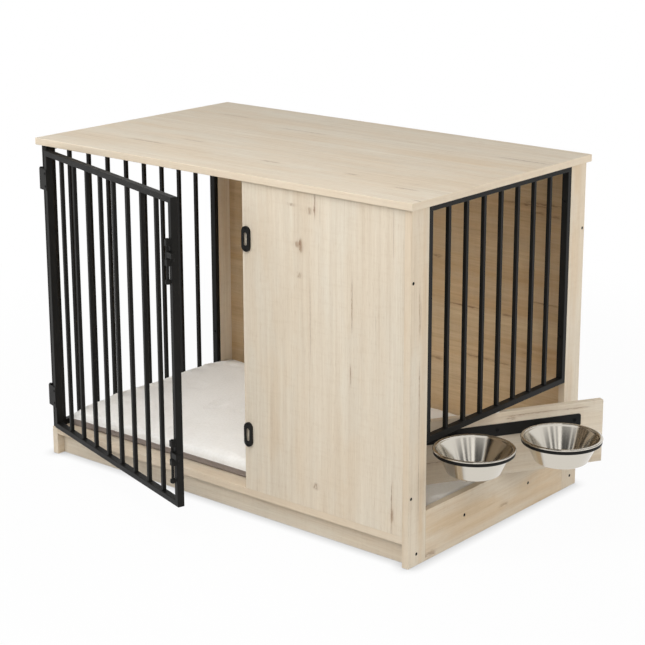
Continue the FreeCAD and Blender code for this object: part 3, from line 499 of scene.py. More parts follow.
        def mask(width: float, share: float) -> Socket:
            """Bell across the mark.

            Args:
                width: Width of the bell, in widths of the mark.
                share: Strength at its middle.

            Returns:
                The bell, on the faces of the board only.
            """
            narrow = tree.math("DIVIDE", spread, width)
            radius = tree.math("MULTIPLY_ADD", narrow, narrow, taper)
            bell = tree.math("POWER", math.e, tree.math("MULTIPLY", radius, -1.0))
            strength = tree.math("MULTIPLY", tree.math("MULTIPLY", bell, ragged), share * mark.depth)
            return tree.math("MULTIPLY", tree.math("MAXIMUM", strength, 0.0), on_face)

        colour = tree.blend(mask(self.halo_width, self.halo_share), colour, opaque(self.rust))
        return tree.blend(mask(1.0, 1.0), colour, opaque(self.crack))


@dataclass(frozen=True)
class CoatFinish:
    """Plain coat on metal or plastic, with a fine orange-peel skin."""

    name: str
    colour: Colour
    worn: Colour
    roughness: float
    specular: float
    peel: float = 900.0
    peel_height: float = 0.04 * MM
    peel_share: float = 0.6
    cloud_scale: float = 24.0
    roughness_spread: float = 0.10

    def material(self) -> bpy.types.Material:
        """Make the material.

        Returns:
            The material.
        """
        tree = SurfaceTree(self.name)
        point = tree.place()
        skin = tree.noise(point, self.peel, 2.0)
        cloud = tree.window(tree.noise(point, self.cloud_scale, 4.0), *CLOUD_LEVELS)
        smoothest = self.roughness - self.roughness_spread / 2
        tree.set(Base_Color=tree.blend(cloud, opaque(self.colour), opaque(self.worn)))
        tree.set(Roughness=tree.math("MULTIPLY_ADD", cloud, self.roughness_spread, smoothest))
        tree.set(Specular_IOR_Level=self.specular)
        tree.bump(skin, self.peel_height, self.peel_share)
        return tree.material


@dataclass(frozen=True)
class SteelFinish:
    """Polished spun steel with fine turned lines about an upright axis, its colour tinted warm as painted
    reflection of the wood around it.
    """

    # Partly the steel's own colour and partly painted reflection: it is tinted warm, as if it reflected
    # the pale wood beside it.
    colour: Colour = (0.630, 0.590, 0.520)
    roughness: float = 0.11
    roughness_spread: float = 0.06
    line_scale: float = 1500.0
    line_height: float = 0.006 * MM
    line_share: float = 0.5
    smear_scale: float = 18.0

    def material(self, name: str, centre: Vector) -> bpy.types.Material:
        """Make the material of one bowl.

        Args:
            name: Name of the material.
            centre: A point on the bowl's axis.

        Returns:
            The material.
        """
        tree = SurfaceTree(name)
        point = tree.place(centre)
        x, y, z = tree.split(point)
        square = tree.math("ADD", tree.math("MULTIPLY", x, x), tree.math("MULTIPLY", y, y))
        lines = tree.noise(tree.combine(tree.math("SQRT", square), 0.0, z), self.line_scale, 2.0)
        smear = tree.noise(point, self.smear_scale, 3.0)
        smoothest = self.roughness - self.roughness_spread / 2
        turned_lines = tree.math("MULTIPLY_ADD", lines, self.roughness_spread, smoothest)
        tree.set(Metallic=1.0, Base_Color=opaque(self.colour))
        tree.set(Roughness=tree.math("MULTIPLY_ADD", smear, self.roughness_spread, turned_lines))
        tree.bump(lines, self.line_height, self.line_share)
        return tree.material


@dataclass(frozen=True)
class PlushFinish:
    """Short cream plush with a soft nap that lies in different ways, and painted shade between its tufts
    and in soft clouds.
    """

    colour: Colour = (0.930, 0.915, 0.880)
    shade: Colour = (0.850, 0.830, 0.785)
    cloud_scale: float = 14.0
    cloud_share: float = 0.35
    tuft_scale: float = 170.0
    tuft_share: float = 0.5
    tuft_levels: tuple[float, float] = (0.62, 0.30)
    nap_scale: float = 900.0
    nap_share: float = 0.35
    pile: float = 1.6 * MM
    pile_share: float = 0.55

    def material(self) -> bpy.types.Material:
        """Make the material.

        Returns:
            The material.
        """
        tree = SurfaceTree("cream_plush")
        point = tree.place()
        clouds = tree.window(tree.noise(point, self.cloud_scale, 4.0), *CLOUD_LEVELS)
        tufts = tree.noise(point, self.tuft_scale, 3.0, 0.65)
        nap = tree.noise(point, self.nap_scale, 2.0)
        between = tree.window(tufts, *self.tuft_levels)
        # Painted shade: the plush is darkened towards its shade colour between the tufts and in soft
        # clouds.
        soft = tree.math("MULTIPLY", clouds, self.cloud_share)
        soft = tree.math("MULTIPLY_ADD", between, self.tuft_share, soft)
        tree.set(Base_Color=tree.blend(soft, opaque(self.colour), opaque(self.shade)))
        tree.set(Roughness=0.95, Specular_IOR_Level=0.1, Sheen_Weight=0.35, Sheen_Roughness=0.45)
        tree.bump(tree.math("MULTIPLY_ADD", nap, self.nap_share, tufts), self.pile, self.pile_share)
        return tree.material


@dataclass(frozen=True)
class ClothFinish:
    """Plain woven cloth, its threads along two directions of the crate."""

    colour: Colour = (0.230, 0.190, 0.168)
    thread: Colour = (0.330, 0.280, 0.250)
    pitch: float = 0.9 * MM
    weave_share: float = 0.3
    slub_scale: float = 120.0
    slub_share: float = 0.6
    thread_height: float = 0.25 * MM
    thread_share: float = 0.5

    def material(self) -> bpy.types.Material:
        """Make the material.

        Returns:
            The material.
        """
        tree = SurfaceTree("taupe_cloth")
        point = tree.place()
        x, y, z = tree.split(point)
        rising = tree.math("SUBTRACT", tree.math("ADD", z, x), y)
        warp, weft = (
            tree.math("SINE", tree.math("MULTIPLY", way, 2 * math.pi / self.pitch))
            for way in (tree.math("ADD", x, y), rising)
        )
        weave = tree.math("MULTIPLY_ADD", tree.math("MULTIPLY", warp, weft), 0.5, 0.5)
        slub = tree.noise(point, self.slub_scale, 3.0)
        share = tree.math("MULTIPLY", weave, self.weave_share)
        share = tree.math("MULTIPLY_ADD", slub, self.slub_share, share)
        tree.set(Base_Color=tree.blend(share, opaque(self.colour), opaque(self.thread)))
        tree.set(Roughness=0.9, Specular_IOR_Level=0.15, Sheen_Weight=0.2)
        tree.bump(weave, self.thread_height, self.thread_share)
        return tree.material


# Repeats made with Geometry Nodes

class RepeatTree:
    """Geometry Nodes tree that sets one shape on every point, facing that point's outward direction."""

    OUTWARD = "outward"
    INPUTS = {
        "Geometry": "NodeSocketGeometry", "Shape": "NodeSocketObject", "Smallest": "NodeSocketFloat",
        "Largest": "NodeSocketFloat", "Seed": "NodeSocketInt", "Finish": "NodeSocketMaterial",
    }

    def __init__(self) -> None:
        """Build the tree with its named inputs."""
        self.group = bpy.data.node_groups.new("repeat_on_points", "GeometryNodeTree")
        for name, kind in self.INPUTS.items():
            self.group.interface.new_socket(name, in_out="INPUT", socket_type=kind)
        self.group.interface.new_socket("Geometry", in_out="OUTPUT", socket_type="NodeSocketGeometry")
        self._wire()

    def _wire(self) -> None:
        """Add the nodes and link them."""
        nodes = self.group.nodes
        entry = nodes.new("NodeGroupInput")
        leave = nodes.new("NodeGroupOutput")
        shape = nodes.new("GeometryNodeObjectInfo")
        direction = nodes.new("GeometryNodeInputNamedAttribute")
        direction.data_type = "FLOAT_VECTOR"
        direction.inputs["Name"].default_value = self.OUTWARD
        facing = nodes.new("FunctionNodeAlignRotationToVector")
        facing.axis = "Z"
        spin = nodes.new("FunctionNodeRandomValue")
        spin.data_type = "FLOAT"
        spin.inputs[3].default_value = 2 * math.pi
        about = nodes.new("FunctionNodeAxisAngleToRotation")
        both = nodes.new("FunctionNodeRotateRotation")
        both.rotation_space = "LOCAL"
        size = nodes.new("FunctionNodeRandomValue")
        size.data_type = "FLOAT"
        copies = nodes.new("GeometryNodeInstanceOnPoints")
        real = nodes.new("GeometryNodeRealizeInstances")
        finish = nodes.new("GeometryNodeSetMaterial")
        links = (
            (entry, "Shape", shape, "Object"), (direction, "Attribute", facing, "Vector"),
            (entry, "Seed", spin, "Seed"), (spin, 1, about, "Angle"),
            (facing, 0, both, 0), (about, 0, both, 1),
            (entry, "Smallest", size, 2), (entry, "Largest", size, 3), (entry, "Seed", size, "Seed"),
            (entry, "Geometry", copies, "Points"), (shape, "Geometry", copies, "Instance"),
            (both, 0, copies, "Rotation"), (size, 1, copies, "Scale"),
            (copies, 0, real, 0), (real, 0, finish, "Geometry"),
            (entry, "Finish", finish, "Material"), (finish, 0, leave, 0),
        )
        for source, output, target, socket in links:
            self.group.links.new(source.outputs[output], target.inputs[socket])

    def make(
        self, name: str, places: Sequence[tuple[Vector, Vector]], shape: bpy.types.Object,
        finish: bpy.types.Material, seed: int, sizes: tuple[float, float] = (1.0, 1.0)
    ) -> bpy.types.Object:
        """Set the shape on every place and keep the result as a plain mesh.

        Args:
            name: Name of the piece.
            places: Points and the directions in which the copies face.
            shape: Template, drawn about the origin and facing up. It is taken out of the scene.
            finish: Material of the copies.
            seed: Seed of the random scale and spin.
            sizes: Smallest and largest scale of a copy.

        Returns:
            The finished piece.
        """
        points = bpy.data.meshes.new(f"{name}_points")
        points.from_pydata([place for place, _ in places], [], [])
        attribute = points.attributes.new(self.OUTWARD, "FLOAT_VECTOR", "POINT")
        for index, (_, outward) in enumerate(places):
            attribute.data[index].vector = outward
        carrier = link_object(f"{name}_carrier", points)
        modifier = carrier.modifiers.new("repeat", "NODES")
        modifier.node_group = self.group
        smallest, largest = sizes
        values = {"Shape": shape, "Smallest": smallest, "Largest": largest, "Seed": seed, "Finish": finish}
        for item in self.group.interface.items_tree:
            if item.in_out == "INPUT" and item.name in values:
                modifier[item.identifier] = values[item.name]
        mesh = evaluated_mesh(carrier)
        remove_object(carrier)
        remove_object(shape)
        mesh.name = name
        return link_object(name, mesh)


# Mesh helpers

def link_object(name: str, data: bpy.types.ID) -> bpy.types.Object:
    """Put a mesh, a curve, a lamp or a camera into the scene.

    Args:
        name: Name of the object.
        data: Its mesh, curve, lamp or camera.

    Returns:
        The object.
    """
    piece = bpy.data.objects.new(name, data)
    bpy.context.scene.collection.objects.link(piece)
    return piece


def remove_object(piece: bpy.types.Object) -> None:
    """Take an object out of the scene."""
    bpy.data.objects.remove(piece, do_unlink=True)


def evaluated_mesh(piece: bpy.types.Object) -> bpy.types.Mesh:
    """Plain mesh of an object with its modifiers applied."""
    graph = bpy.context.evaluated_depsgraph_get()
    return bpy.data.meshes.new_from_object(piece.evaluated_get(graph), depsgraph=graph)


def drawn_mesh(name: str, body: bmesh.types.BMesh) -> bpy.types.Mesh:
    """Plain mesh of an edited one, which is freed.

    Args:
        name: Name of the mesh.
        body: The edited mesh.

    Returns:
        The mesh.
    """
    mesh = bpy.data.meshes.new(name)
    body.to_mesh(mesh)
    body.free()
    return mesh


def smooth(mesh: bpy.types.Mesh, angle: float = math.radians(35)) -> None:
    """Shade a mesh smooth, with sharp edges past an angle."""
    mesh.shade_smooth()
    mesh.set_sharp_from_angle(angle=angle)


def join_rings(body: bmesh.types.BMesh, rings: Sequence[Sequence[bmesh.types.BMVert]]) -> None:
    """Join each ring of corners to the next one with faces.

    Args:
        body: The edited mesh.
        rings: Rings of as many corners each, or of one corner at a pole.
    """
    steps = max(len(ring) for ring in rings)
    for lower, upper in zip(rings, rings[1:]):
        for index in range(steps):
            after = (index + 1) % steps
            corners = [lower[index % len(lower)], lower[after % len(lower)],
                       upper[after % len(upper)], upper[index % len(upper)]]
            body.faces.new(list(dict.fromkeys(corners)))


def lathe(name: str, outline: Profile, steps: int) -> bpy.types.Mesh:
    """Turn an outline about the upright axis.

    Args:
        name: Name of the mesh.
        outline: Radius and height of each point, from axis to axis.
        steps: Number of steps in a turn.

    Returns:
        The closed mesh, with its faces outwards.
    """
    body = bmesh.new()
    rings = []
    for radius, height in outline:
        turns = [2 * math.pi * index / steps for index in range(steps if radius > 0.0 else 1)]
        ring = [(radius * math.cos(turn), radius * math.sin(turn), height) for turn in turns]
        rings.append([body.verts.new(point) for point in ring])
    join_rings(body, rings)
    bmesh.ops.recalc_face_normals(body, faces=body.faces)
    return drawn_mesh(name, body)


def arc(centre: tuple[float, float], radius: float, start: float, end: float, count: int) -> Profile:
    """Points on an arc in the plane of radius and height.

    Args:
        centre: Centre of the arc.
        radius: Its radius.
        start: First angle, in degrees.
        end: Last angle, in degrees.
        count: Number of steps.

    Returns:
        The points.
    """
    angles = [math.radians(start + (end - start) * index / count) for index in range(count + 1)]
    return [(centre[0] + radius * math.cos(a), centre[1] + radius * math.sin(a)) for a in angles]


def solids_of(piece: bpy.types.Object) -> list[list[Vector]]:
    """Corner points of each separate solid in a node.

    Args:
        piece: Object of the node, which stays as it is.

    Returns:
        One list of points for each solid.
    """
    body = bmesh.new()
    body.from_mesh(piece.data)
    bmesh.ops.remove_doubles(body, verts=body.verts, dist=SAME_POINT)
    groups = []
    waiting = dict.fromkeys(body.verts)
    while waiting:
        first, _ = waiting.popitem()
        stack = [first]
        members = []
        while stack:
            vertex = stack.pop()
            members.append(vertex.co.copy())
            for edge in vertex.link_edges:
                other = edge.other_vert(vertex)
                if other in waiting:
                    del waiting[other]
                    stack.append(other)
        groups.append(members)
    body.free()
    return sorted(groups, key=lambda points: tuple(round(value, 4) for value in middle_of(points)))


def middle_of(points: Sequence[Vector]) -> Vector:
    """Middle of the box around some points.

    Args:
        points: The points.

    Returns:
        The middle.
    """
    low = Vector([min(point[axis] for point in points) for axis in range(3)])
    high = Vector([max(point[axis] for point in points) for axis in range(3)])
    return (low + high) / 2


def tip_of(points: Sequence[Vector], outward: Vector) -> Vector:
    """Point on a solid's middle line where it ends in a direction.

    Args:
        points: Points of the solid.
        outward: The direction.

    Returns:
        The point.
    """
    reach = max(point.dot(outward) for point in points)
    end = [point for point in points if reach - point.dot(outward) < SAME_END]
    return sum(end, Vector()) / len(end)


# Sub-assemblies

@dataclass
class Crate:
    """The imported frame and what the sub-assemblies share."""

    nodes: dict[str, bpy.types.Object]
    joints: list[dict[str, Any]]
    steel: bpy.types.Material
    fastener: bpy.types.Material
    repeat: RepeatTree

    STEEL_COAT = CoatFinish(
        "black_powder_coat", (0.0085, 0.0082, 0.0075), (0.0118, 0.0114, 0.0105), 0.48, 0.14
    )
    FASTENER_COAT = CoatFinish(
        "blackened_fastener", (0.004, 0.004, 0.004), (0.007, 0.007, 0.007), 0.45, 0.12
    )

    @classmethod
    def load(cls) -> Crate:
        """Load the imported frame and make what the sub-assemblies share.

        Returns:
            The crate.
        """
        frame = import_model()
        steel = cls.STEEL_COAT.material()
        fastener = cls.FASTENER_COAT.material()
        return cls(frame["nodes"], frame["joints"], steel, fastener, RepeatTree())

    def joint(self, name: str) -> dict[str, Any]:
        """The joint of that name."""
        return next(joint for joint in self.joints if joint["name"] == name)

    def dress(self, material: bpy.types.Material, *names: str) -> None:
        """Give nodes a material.

        Args:
            material: The material.
            names: The nodes.
        """
        for name in names:
            slots = self.nodes[name].material_slots
            for slot in slots:
                slot.material = material
            if not slots:
                self.nodes[name].data.materials.append(material)
            LOG.info("%s dressed in %s", name, material.name)

    def add(self, piece: bpy.types.Object, body: str, slot: str, *replaced: str) -> None:
        """Let a finished piece ride on a body.

        Args:
            piece: The piece.
            body: Name of the body.
            slot: Name of its material slot; not used.
            replaced: Nodes that it stands for.
        """
        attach(piece, body)
        if replaced:
            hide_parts(*replaced)
        LOG.info("%s rides on %s, %d faces", piece.name, body, len(piece.data.polygons))


@dataclass
class Cabinet:
    """Boards of the cabinet and the swivelling feeder board."""

    crate: Crate
    finish: OakFinish = field(default_factory=OakFinish)

    # Painted shade: the back panel, which stands in shade inside the crate, gets a darker, warmer and more
    # streaked copy of the decor.
    PAINTED_SHADE_FINISH = OakFinish(
        cream=(0.685, 0.525, 0.325), ash=(0.640, 0.500, 0.330), blush=(0.660, 0.480, 0.285),
        tan=(0.630, 0.430, 0.235), deep=(0.365, 0.220, 0.108), edge=(0.650, 0.500, 0.330),
        streak_share=0.72, line_share=0.58,
    )
    PAINTED_SHADE_NODES = ("back_panel",)

    FRONT_MARKS = (
        Mark(0.676, 0.270, 0.046, 2.4 * MM, 0.75), Mark(0.664, 0.257, 0.014, 7.0 * MM, 0.55),
        Mark(0.670, 0.212, 0.006, 11.0 * MM, 0.5), Mark(0.593, 0.235, 0.026, 6.0 * MM, 0.8),
        Mark(0.594, 0.226, 0.012, 9.0 * MM, 0.5), Mark(0.534, 0.231, 0.012, 6.5 * MM, 0.5),
        Mark(0.498, 0.3615, 0.100, 1.5 * MM, 0.75), Mark(0.447, 0.258, 0.155, 1.2 * MM, 0.5),
        Mark(0.646, 0.459, 0.095, 1.2 * MM, 0.4), Mark(0.359, 0.358, 0.036, 1.8 * MM, 0.8),
        Mark(0.112, 0.271, 0.014, 7.0 * MM, 0.7), Mark(0.120, 0.459, 0.110, 1.5 * MM, 0.7),
        Mark(0.100, 0.461, 0.026, 4.0 * MM, 0.6),
    )
    STILE_MARKS = (
        Mark(0.330, -0.264, 0.140, 1.6 * MM, 0.8), Mark(0.170, -0.263, 0.150, 1.2 * MM, 0.6),
        Mark(0.500, -0.266, 0.090, 1.8 * MM, 0.6), Mark(0.495, -0.262, 0.060, 1.4 * MM, 0.5),
    )
    TOP_MARKS = (
        Mark(-0.295, -0.176, 0.095, 3.0 * MM, 0.7), Mark(-0.223, -0.110, 0.060, 3.0 * MM, 0.5),
        Mark(0.055, -0.176, 0.045, 4.0 * MM, 0.6), Mark(0.257, -0.168, 0.034, 4.0 * MM, 0.5),
        Mark(0.421, -0.208, 0.055, 3.5 * MM, 0.6), Mark(0.441, 0.155, 0.120, 3.0 * MM, 0.7),
        Mark(-0.110, 0.120, 0.140, 2.4 * MM, 0.5), Mark(-0.360, 0.170, 0.090, 3.0 * MM, 0.5),
    )
    BACK_MARKS = (
        Mark(0.364, 0.594, 0.110, 3.0 * MM, 0.7), Mark(0.395, 0.580, 0.030, 4.0 * MM, 0.6),
        Mark(0.210, 0.346, 0.085, 2.6 * MM, 0.8), Mark(0.325, 0.344, 0.024, 4.0 * MM, 0.8),
        Mark(-0.180, 0.420, 0.150, 2.4 * MM, 0.6), Mark(0.415, 0.600, 0.110, 3.4 * MM, 0.6),
        Mark(0.255, 0.236, 0.085, 3.0 * MM, 0.7), Mark(0.135, 0.213, 0.045, 5.0 * MM, 0.6),
        Mark(0.316, 0.234, 0.040, 3.0 * MM, 0.6), Mark(0.418, 0.386, 0.066, 2.4 * MM, 0.6),
        Mark(0.438, 0.576, 0.024, 6.0 * MM, 0.6), Mark(0.137, 0.447, 0.024, 5.0 * MM, 0.5),
    )
    LOWER_MARKS = (Mark(0.024, 0.034, 0.030, 5.0 * MM, 0.5), Mark(-0.225, 0.010, 0.035, 8.0 * MM, 0.6))
    FEEDER_MARKS = (
        Mark(0.075, 0.2275, 0.120, 2.0 * MM, 0.7), Mark(0.175, 0.2265, 0.060, 1.8 * MM, 0.6),
        Mark(0.030, 0.2225, 0.020, 4.0 * MM, 0.6), Mark(-0.150, 0.150, 0.090, 2.0 * MM, 0.5),
    )

    # The fourth column, warmth, is partly painted shade: higher on boards that stand in shade, lower on
    # the feeder board to lighten it.
    BOARDS = (
        Board("top_board", Axis.LENGTH, 1.30, 0.48, TOP_MARKS),
        Board("front_panel", Axis.UPRIGHT, 2.70, 0.15, FRONT_MARKS),
        Board("back_panel", Axis.LENGTH, 3.90, 0.75, BACK_MARKS),
        Board("right_front_stile", Axis.UPRIGHT, 5.20, 0.75, STILE_MARKS),
        Board("right_rear_stile", Axis.UPRIGHT, 6.10, 0.70),
        Board("left_rear_stile", Axis.UPRIGHT, 7.40, 0.60),
        Board("right_lower_board", Axis.DEPTH, 8.30, 0.90, LOWER_MARKS),
        Board("left_base_board", Axis.DEPTH, 9.20, 0.50),
        Board("floor_board", Axis.LENGTH, 10.60, 0.45),
        Board("front_plinth", Axis.LENGTH, 11.50, 0.60),
        Board("rear_plinth", Axis.LENGTH, 12.40, 0.40),
        Board("floor_support_rail", Axis.DEPTH, 13.70, 0.40),
    )
    FEEDER = Board("feeder_board", Axis.DEPTH, 14.80, 0.30, FEEDER_MARKS)
    FEEDER_AXES = (Axis.DEPTH, Axis.UPRIGHT, Axis.LENGTH)

    def build(self) -> None:
        """Dress every board with its own cut of the decor, and the back panel with a darker copy of it
        that is painted shade.
        """
        for board in self.BOARDS:
            finish = self.PAINTED_SHADE_FINISH if board.node in self.PAINTED_SHADE_NODES else self.finish
            self.crate.dress(finish.material(board, self.axes_of(board)), board.node)
        pivot = self.crate.joint("feeder_swivel")["pos_m"]
        foot = (pivot[0], pivot[1], 0.0)
        material = self.finish.material(self.FEEDER, self.FEEDER_AXES, foot, FEEDER_TURN)
        self.crate.dress(material, self.FEEDER.node)

    @staticmethod
    def axes_of(board: Board) -> tuple[Axis, Axis, Axis]:
        """Directions along the grain, across it and through the thickness of a board.

        Args:
            board: A board that lies square in the crate.

        Returns:
            The three directions.
        """
        low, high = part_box(board.node)
        thickness = min(Axis, key=lambda axis: high[axis.value] - low[axis.value])
        across = next(axis for axis in Axis if axis not in (board.grain, thickness))
        return board.grain, across, thickness


@dataclass
class MetalWork:
    """Grilles, door, hinges, latches and carrier, with their weld beads."""

    crate: Crate
    bead_length: float = 7.0 * MM
    bead_height: float = 2.0 * MM
    bead_ripple: float = 0.16
    ripple_scale: float = 1.7
    bead_sizes: tuple[float, float] = (0.8, 1.15)
    bead_smooth: float = math.radians(60)
    ledge: float = 1.3 * MM
    seed: int = 7

    PLUG_COAT = CoatFinish("black_plastic", (0.012, 0.012, 0.012), (0.018, 0.018, 0.018), 0.55, 0.3)
    NYLON = CoatFinish("natural_nylon", (0.66, 0.64, 0.58), (0.72, 0.70, 0.65), 0.5, 0.4)
    BEECH = CoatFinish("raw_beech", (0.62, 0.44, 0.27), (0.70, 0.52, 0.34), 0.7, 0.2, 300.0)

    STEEL_NODES = (
        "right_grille_frame", "right_grille_bars", "left_grille_frame", "left_grille_bars",
        "door_frame", "door_bars", "lower_hinge_post_leaf", "upper_hinge_post_leaf",
        "lower_hinge_door_leaf", "upper_hinge_door_leaf", "lower_latch_bracket", "upper_latch_bracket",
        "lower_latch_rod", "upper_latch_rod", "lower_latch_knob", "upper_latch_knob",
        "lower_strike", "upper_strike", "bowl_carrier_strip", "front_bowl_ring", "rear_bowl_ring",
    )
    FASTENER_NODES = (
        "lower_hinge_pin", "upper_hinge_pin", "upper_pivot_pin", "lower_pivot_pin", "bowl_carrier_nuts",
    )
    PLUG_NODES = ("right_grille_plugs", "left_grille_plugs", "door_plugs")
    BUSH_NODES = ("upper_pivot_bush", "lower_pivot_bush")

    def build(self) -> None:
        """Dress the metal and add the weld beads."""
        self.crate.dress(self.crate.steel, *self.STEEL_NODES)
        self.crate.dress(self.crate.fastener, *self.FASTENER_NODES)
        self.crate.dress(self.PLUG_COAT.material(), *self.PLUG_NODES)
        self.crate.dress(self.NYLON.material(), *self.BUSH_NODES)
        self.crate.dress(self.BEECH.material(), "dowels")
        self.weld("door", "door_bars", turned(-BACK, DOOR_TURN))
        self.weld("cabinet", "right_grille_bars", RIGHT)
        self.weld("cabinet", "left_grille_bars", RIGHT)

    def weld(self, body: str, node: str, outward: Vector) -> None:
        """Lay a bead at the front and the back of each end of the bars.

        Args:
            body: Body on which the bars ride.
            node: Node of the bars.
            outward: Direction in which the frame faces.
        """
        places = []
        for points in solids_of(self.crate.nodes[node]):
            centre = middle_of(points)
            low = min(point.z for point in points)
            high = max(point.z for point in points)
            half = max((point - centre).dot(outward) for point in points)
            for side in (outward, -outward):
                foot = centre + side * (half + self.ledge / 2)
                places.append((Vector((foot.x, foot.y, low)), (side + UP).normalized()))
                places.append((Vector((foot.x, foot.y, high)), (side - UP).normalized()))
        piece = self.crate.repeat.make(
            f"{node}_welds", places, self.bead(), self.crate.steel, self.seed, self.bead_sizes
        )
        smooth(piece.data, self.bead_smooth)
        self.crate.add(piece, body, "black_steel")

    def bead(self) -> bpy.types.Object:
        """Low lump of weld metal, facing up.

        Returns:
            The template.
        """
        body = bmesh.new()
        bmesh.ops.create_icosphere(body, subdivisions=2, radius=1.0)
        across = self.bead_length / 2
        for vertex in body.verts:
            place = vertex.co * (1.0 + self.bead_ripple * noise.noise(vertex.co * self.ripple_scale))
            vertex.co = Vector((place.x * across, place.y * across, place.z * self.bead_height / 2))
        return link_object("weld_bead", drawn_mesh("weld_bead", body))


class Drive(Enum):
    """Recess in the head of a fastener, by its number of sides or arms."""

    HEX = 6
    CROSS = 4


@dataclass(frozen=True)
class HeadShape:
    """Head of a fastener: its radius, its height, its dome and the recess in it."""

    radius: float
    height: float
    dome: float
    drive: Drive
    recess: float
    depth: float
    arm_share: float = 0.28
    rim_drop: float = 0.1 * MM
    steps: int = 24

    CROWN = ((0.0, 0.0), (0.5, 0.25), (0.85, 0.75))

    def template(self, name: str, shank: tuple[float, float]) -> bpy.types.Object:
        """Build the fastener about the origin, with the top of its head there and facing up.

        Args:
            name: Name of the template.
            shank: Radius and length of the shank.

        Returns:
            The template.
        """
        neck, length = shank
        under = -self.height
        crown = [(self.radius * out, -self.dome * down) for out, down in self.CROWN]
        rim = [(self.radius, -self.dome - self.rim_drop), (self.radius, under)]
        stem = [(neck, under), (neck, under - length), (0.0, under - length)]
        piece = link_object(name, lathe(name, crown + rim + stem, self.steps))
        cutter = link_object(f"{name}_cutter", self.recess_mesh())
        modifier = piece.modifiers.new("recess", "BOOLEAN")
        modifier.operation = "DIFFERENCE"
        modifier.object = cutter
        modifier.solver = "EXACT"
        finished = evaluated_mesh(piece)
        remove_object(piece)
        remove_object(cutter)
        smooth(finished)
        return link_object(name, finished)

    def recess_mesh(self) -> bpy.types.Mesh:
        """Hexagon or cross to cut out of the head.

        Returns:
            The closed mesh.
        """
        body = bmesh.new()
        if self.drive is Drive.HEX:
            bmesh.ops.create_cone(
                body, cap_ends=True, segments=self.drive.value, radius1=self.recess, radius2=self.recess,
                depth=2 * self.depth
            )
        else:
            arm = self.recess * self.arm_share
            corners = [(self.recess, arm), (arm, arm), (arm, self.recess)]
            ring = []
            for quarter in range(self.drive.value):
                ring += [turned(Vector((x, y, -self.depth)), quarter * math.pi / 2) for x, y in corners]
            floor = body.faces.new([body.verts.new(point) for point in ring])
            walls = bmesh.ops.extrude_face_region(body, geom=[floor])["geom"]
            raised = [item for item in walls if isinstance(item, bmesh.types.BMVert)]
            bmesh.ops.translate(body, verts=raised, vec=Vector((0, 0, 2 * self.depth)))
            bmesh.ops.recalc_face_normals(body, faces=body.faces)
        return drawn_mesh("recess", body)


@dataclass
class Fasteners:
    """Screws and bolts, each with a real recess in its head."""

    crate: Crate
    shank_share: float = 0.45
    tolerance: float = 0.2 * MM
    seed: int = 3

    CARCASS = HeadShape(3.3 * MM, 2.0 * MM, 0.1 * MM, Drive.HEX, 1.9 * MM, 1.4 * MM)
    PAN = HeadShape(3.4 * MM, 1.8 * MM, 0.9 * MM, Drive.CROSS, 2.0 * MM, 1.1 * MM)
    HINGE = HeadShape(2.8 * MM, 1.2 * MM, 0.6 * MM, Drive.CROSS, 1.7 * MM, 0.8 * MM)
    STRIKE = HeadShape(2.2 * MM, 0.8 * MM, 0.3 * MM, Drive.CROSS, 1.4 * MM, 0.5 * MM)
    CARRIER = HeadShape(4.6 * MM, 2.6 * MM, 1.4 * MM, Drive.HEX, 2.0 * MM, 1.5 * MM)

    def build(self) -> None:
        """Put a modelled fastener in the place of each plain one."""
        self.replace("cabinet", "right_side_screws", self.CARCASS, [RIGHT])
        self.replace("cabinet", "left_side_screws", self.CARCASS, [-RIGHT])
        self.replace("cabinet", "right_grille_screws", self.PAN, [BACK, -BACK, -UP])
        self.replace("cabinet", "left_grille_screws", self.PAN, [-BACK, UP, -UP])
        self.replace("cabinet", "hinge_post_screws", self.HINGE, [-RIGHT])
        self.replace("door", "hinge_door_screws", self.HINGE, [turned(-BACK, DOOR_TURN)])
        self.replace("cabinet", "strike_screws", self.STRIKE, [-BACK])
        self.replace("feeder", "bowl_carrier_bolts", self.CARRIER, [turned(RIGHT, FEEDER_TURN)])

    def replace(self, body: str, node: str, head: HeadShape, directions: Sequence[Vector]) -> None:
        """Replace the fasteners of one node.

        Args:
            body: Body on which they ride.
            node: Their node.
            head: Shape of the head.
            directions: Directions in which the heads of this node face.
        """
        places = []
        lengths = []
        for points in solids_of(self.crate.nodes[node]):
            outward = next(way for way in directions if self.is_head(points, way, head))
            tip = tip_of(points, outward)
            places.append((tip, outward))
            lengths.append(max((tip - point).dot(outward) for point in points))
        shank = (self.shank_share * head.radius, min(lengths) - head.height)
        template = head.template(f"{node}_template", shank)
        piece = self.crate.repeat.make(f"{node}_turned", places, template, self.crate.fastener, self.seed)
        smooth(piece.data)
        self.crate.add(piece, body, "black_fastener", node)

    def is_head(self, points: Sequence[Vector], outward: Vector, head: HeadShape) -> bool:
        """Whether a fastener has its head at its end in a direction.

        Args:
            points: Points of the fastener.
            outward: The direction.
            head: Shape of the head.

        Returns:
            True if the end is as wide as the head.
        """
        tip = tip_of(points, outward)
        end = [point for point in points if (tip - point).dot(outward) < head.height / 2]
        widest = max(((point - tip) - outward * (point - tip).dot(outward)).length for point in end)
        return abs(widest - head.radius) < self.tolerance


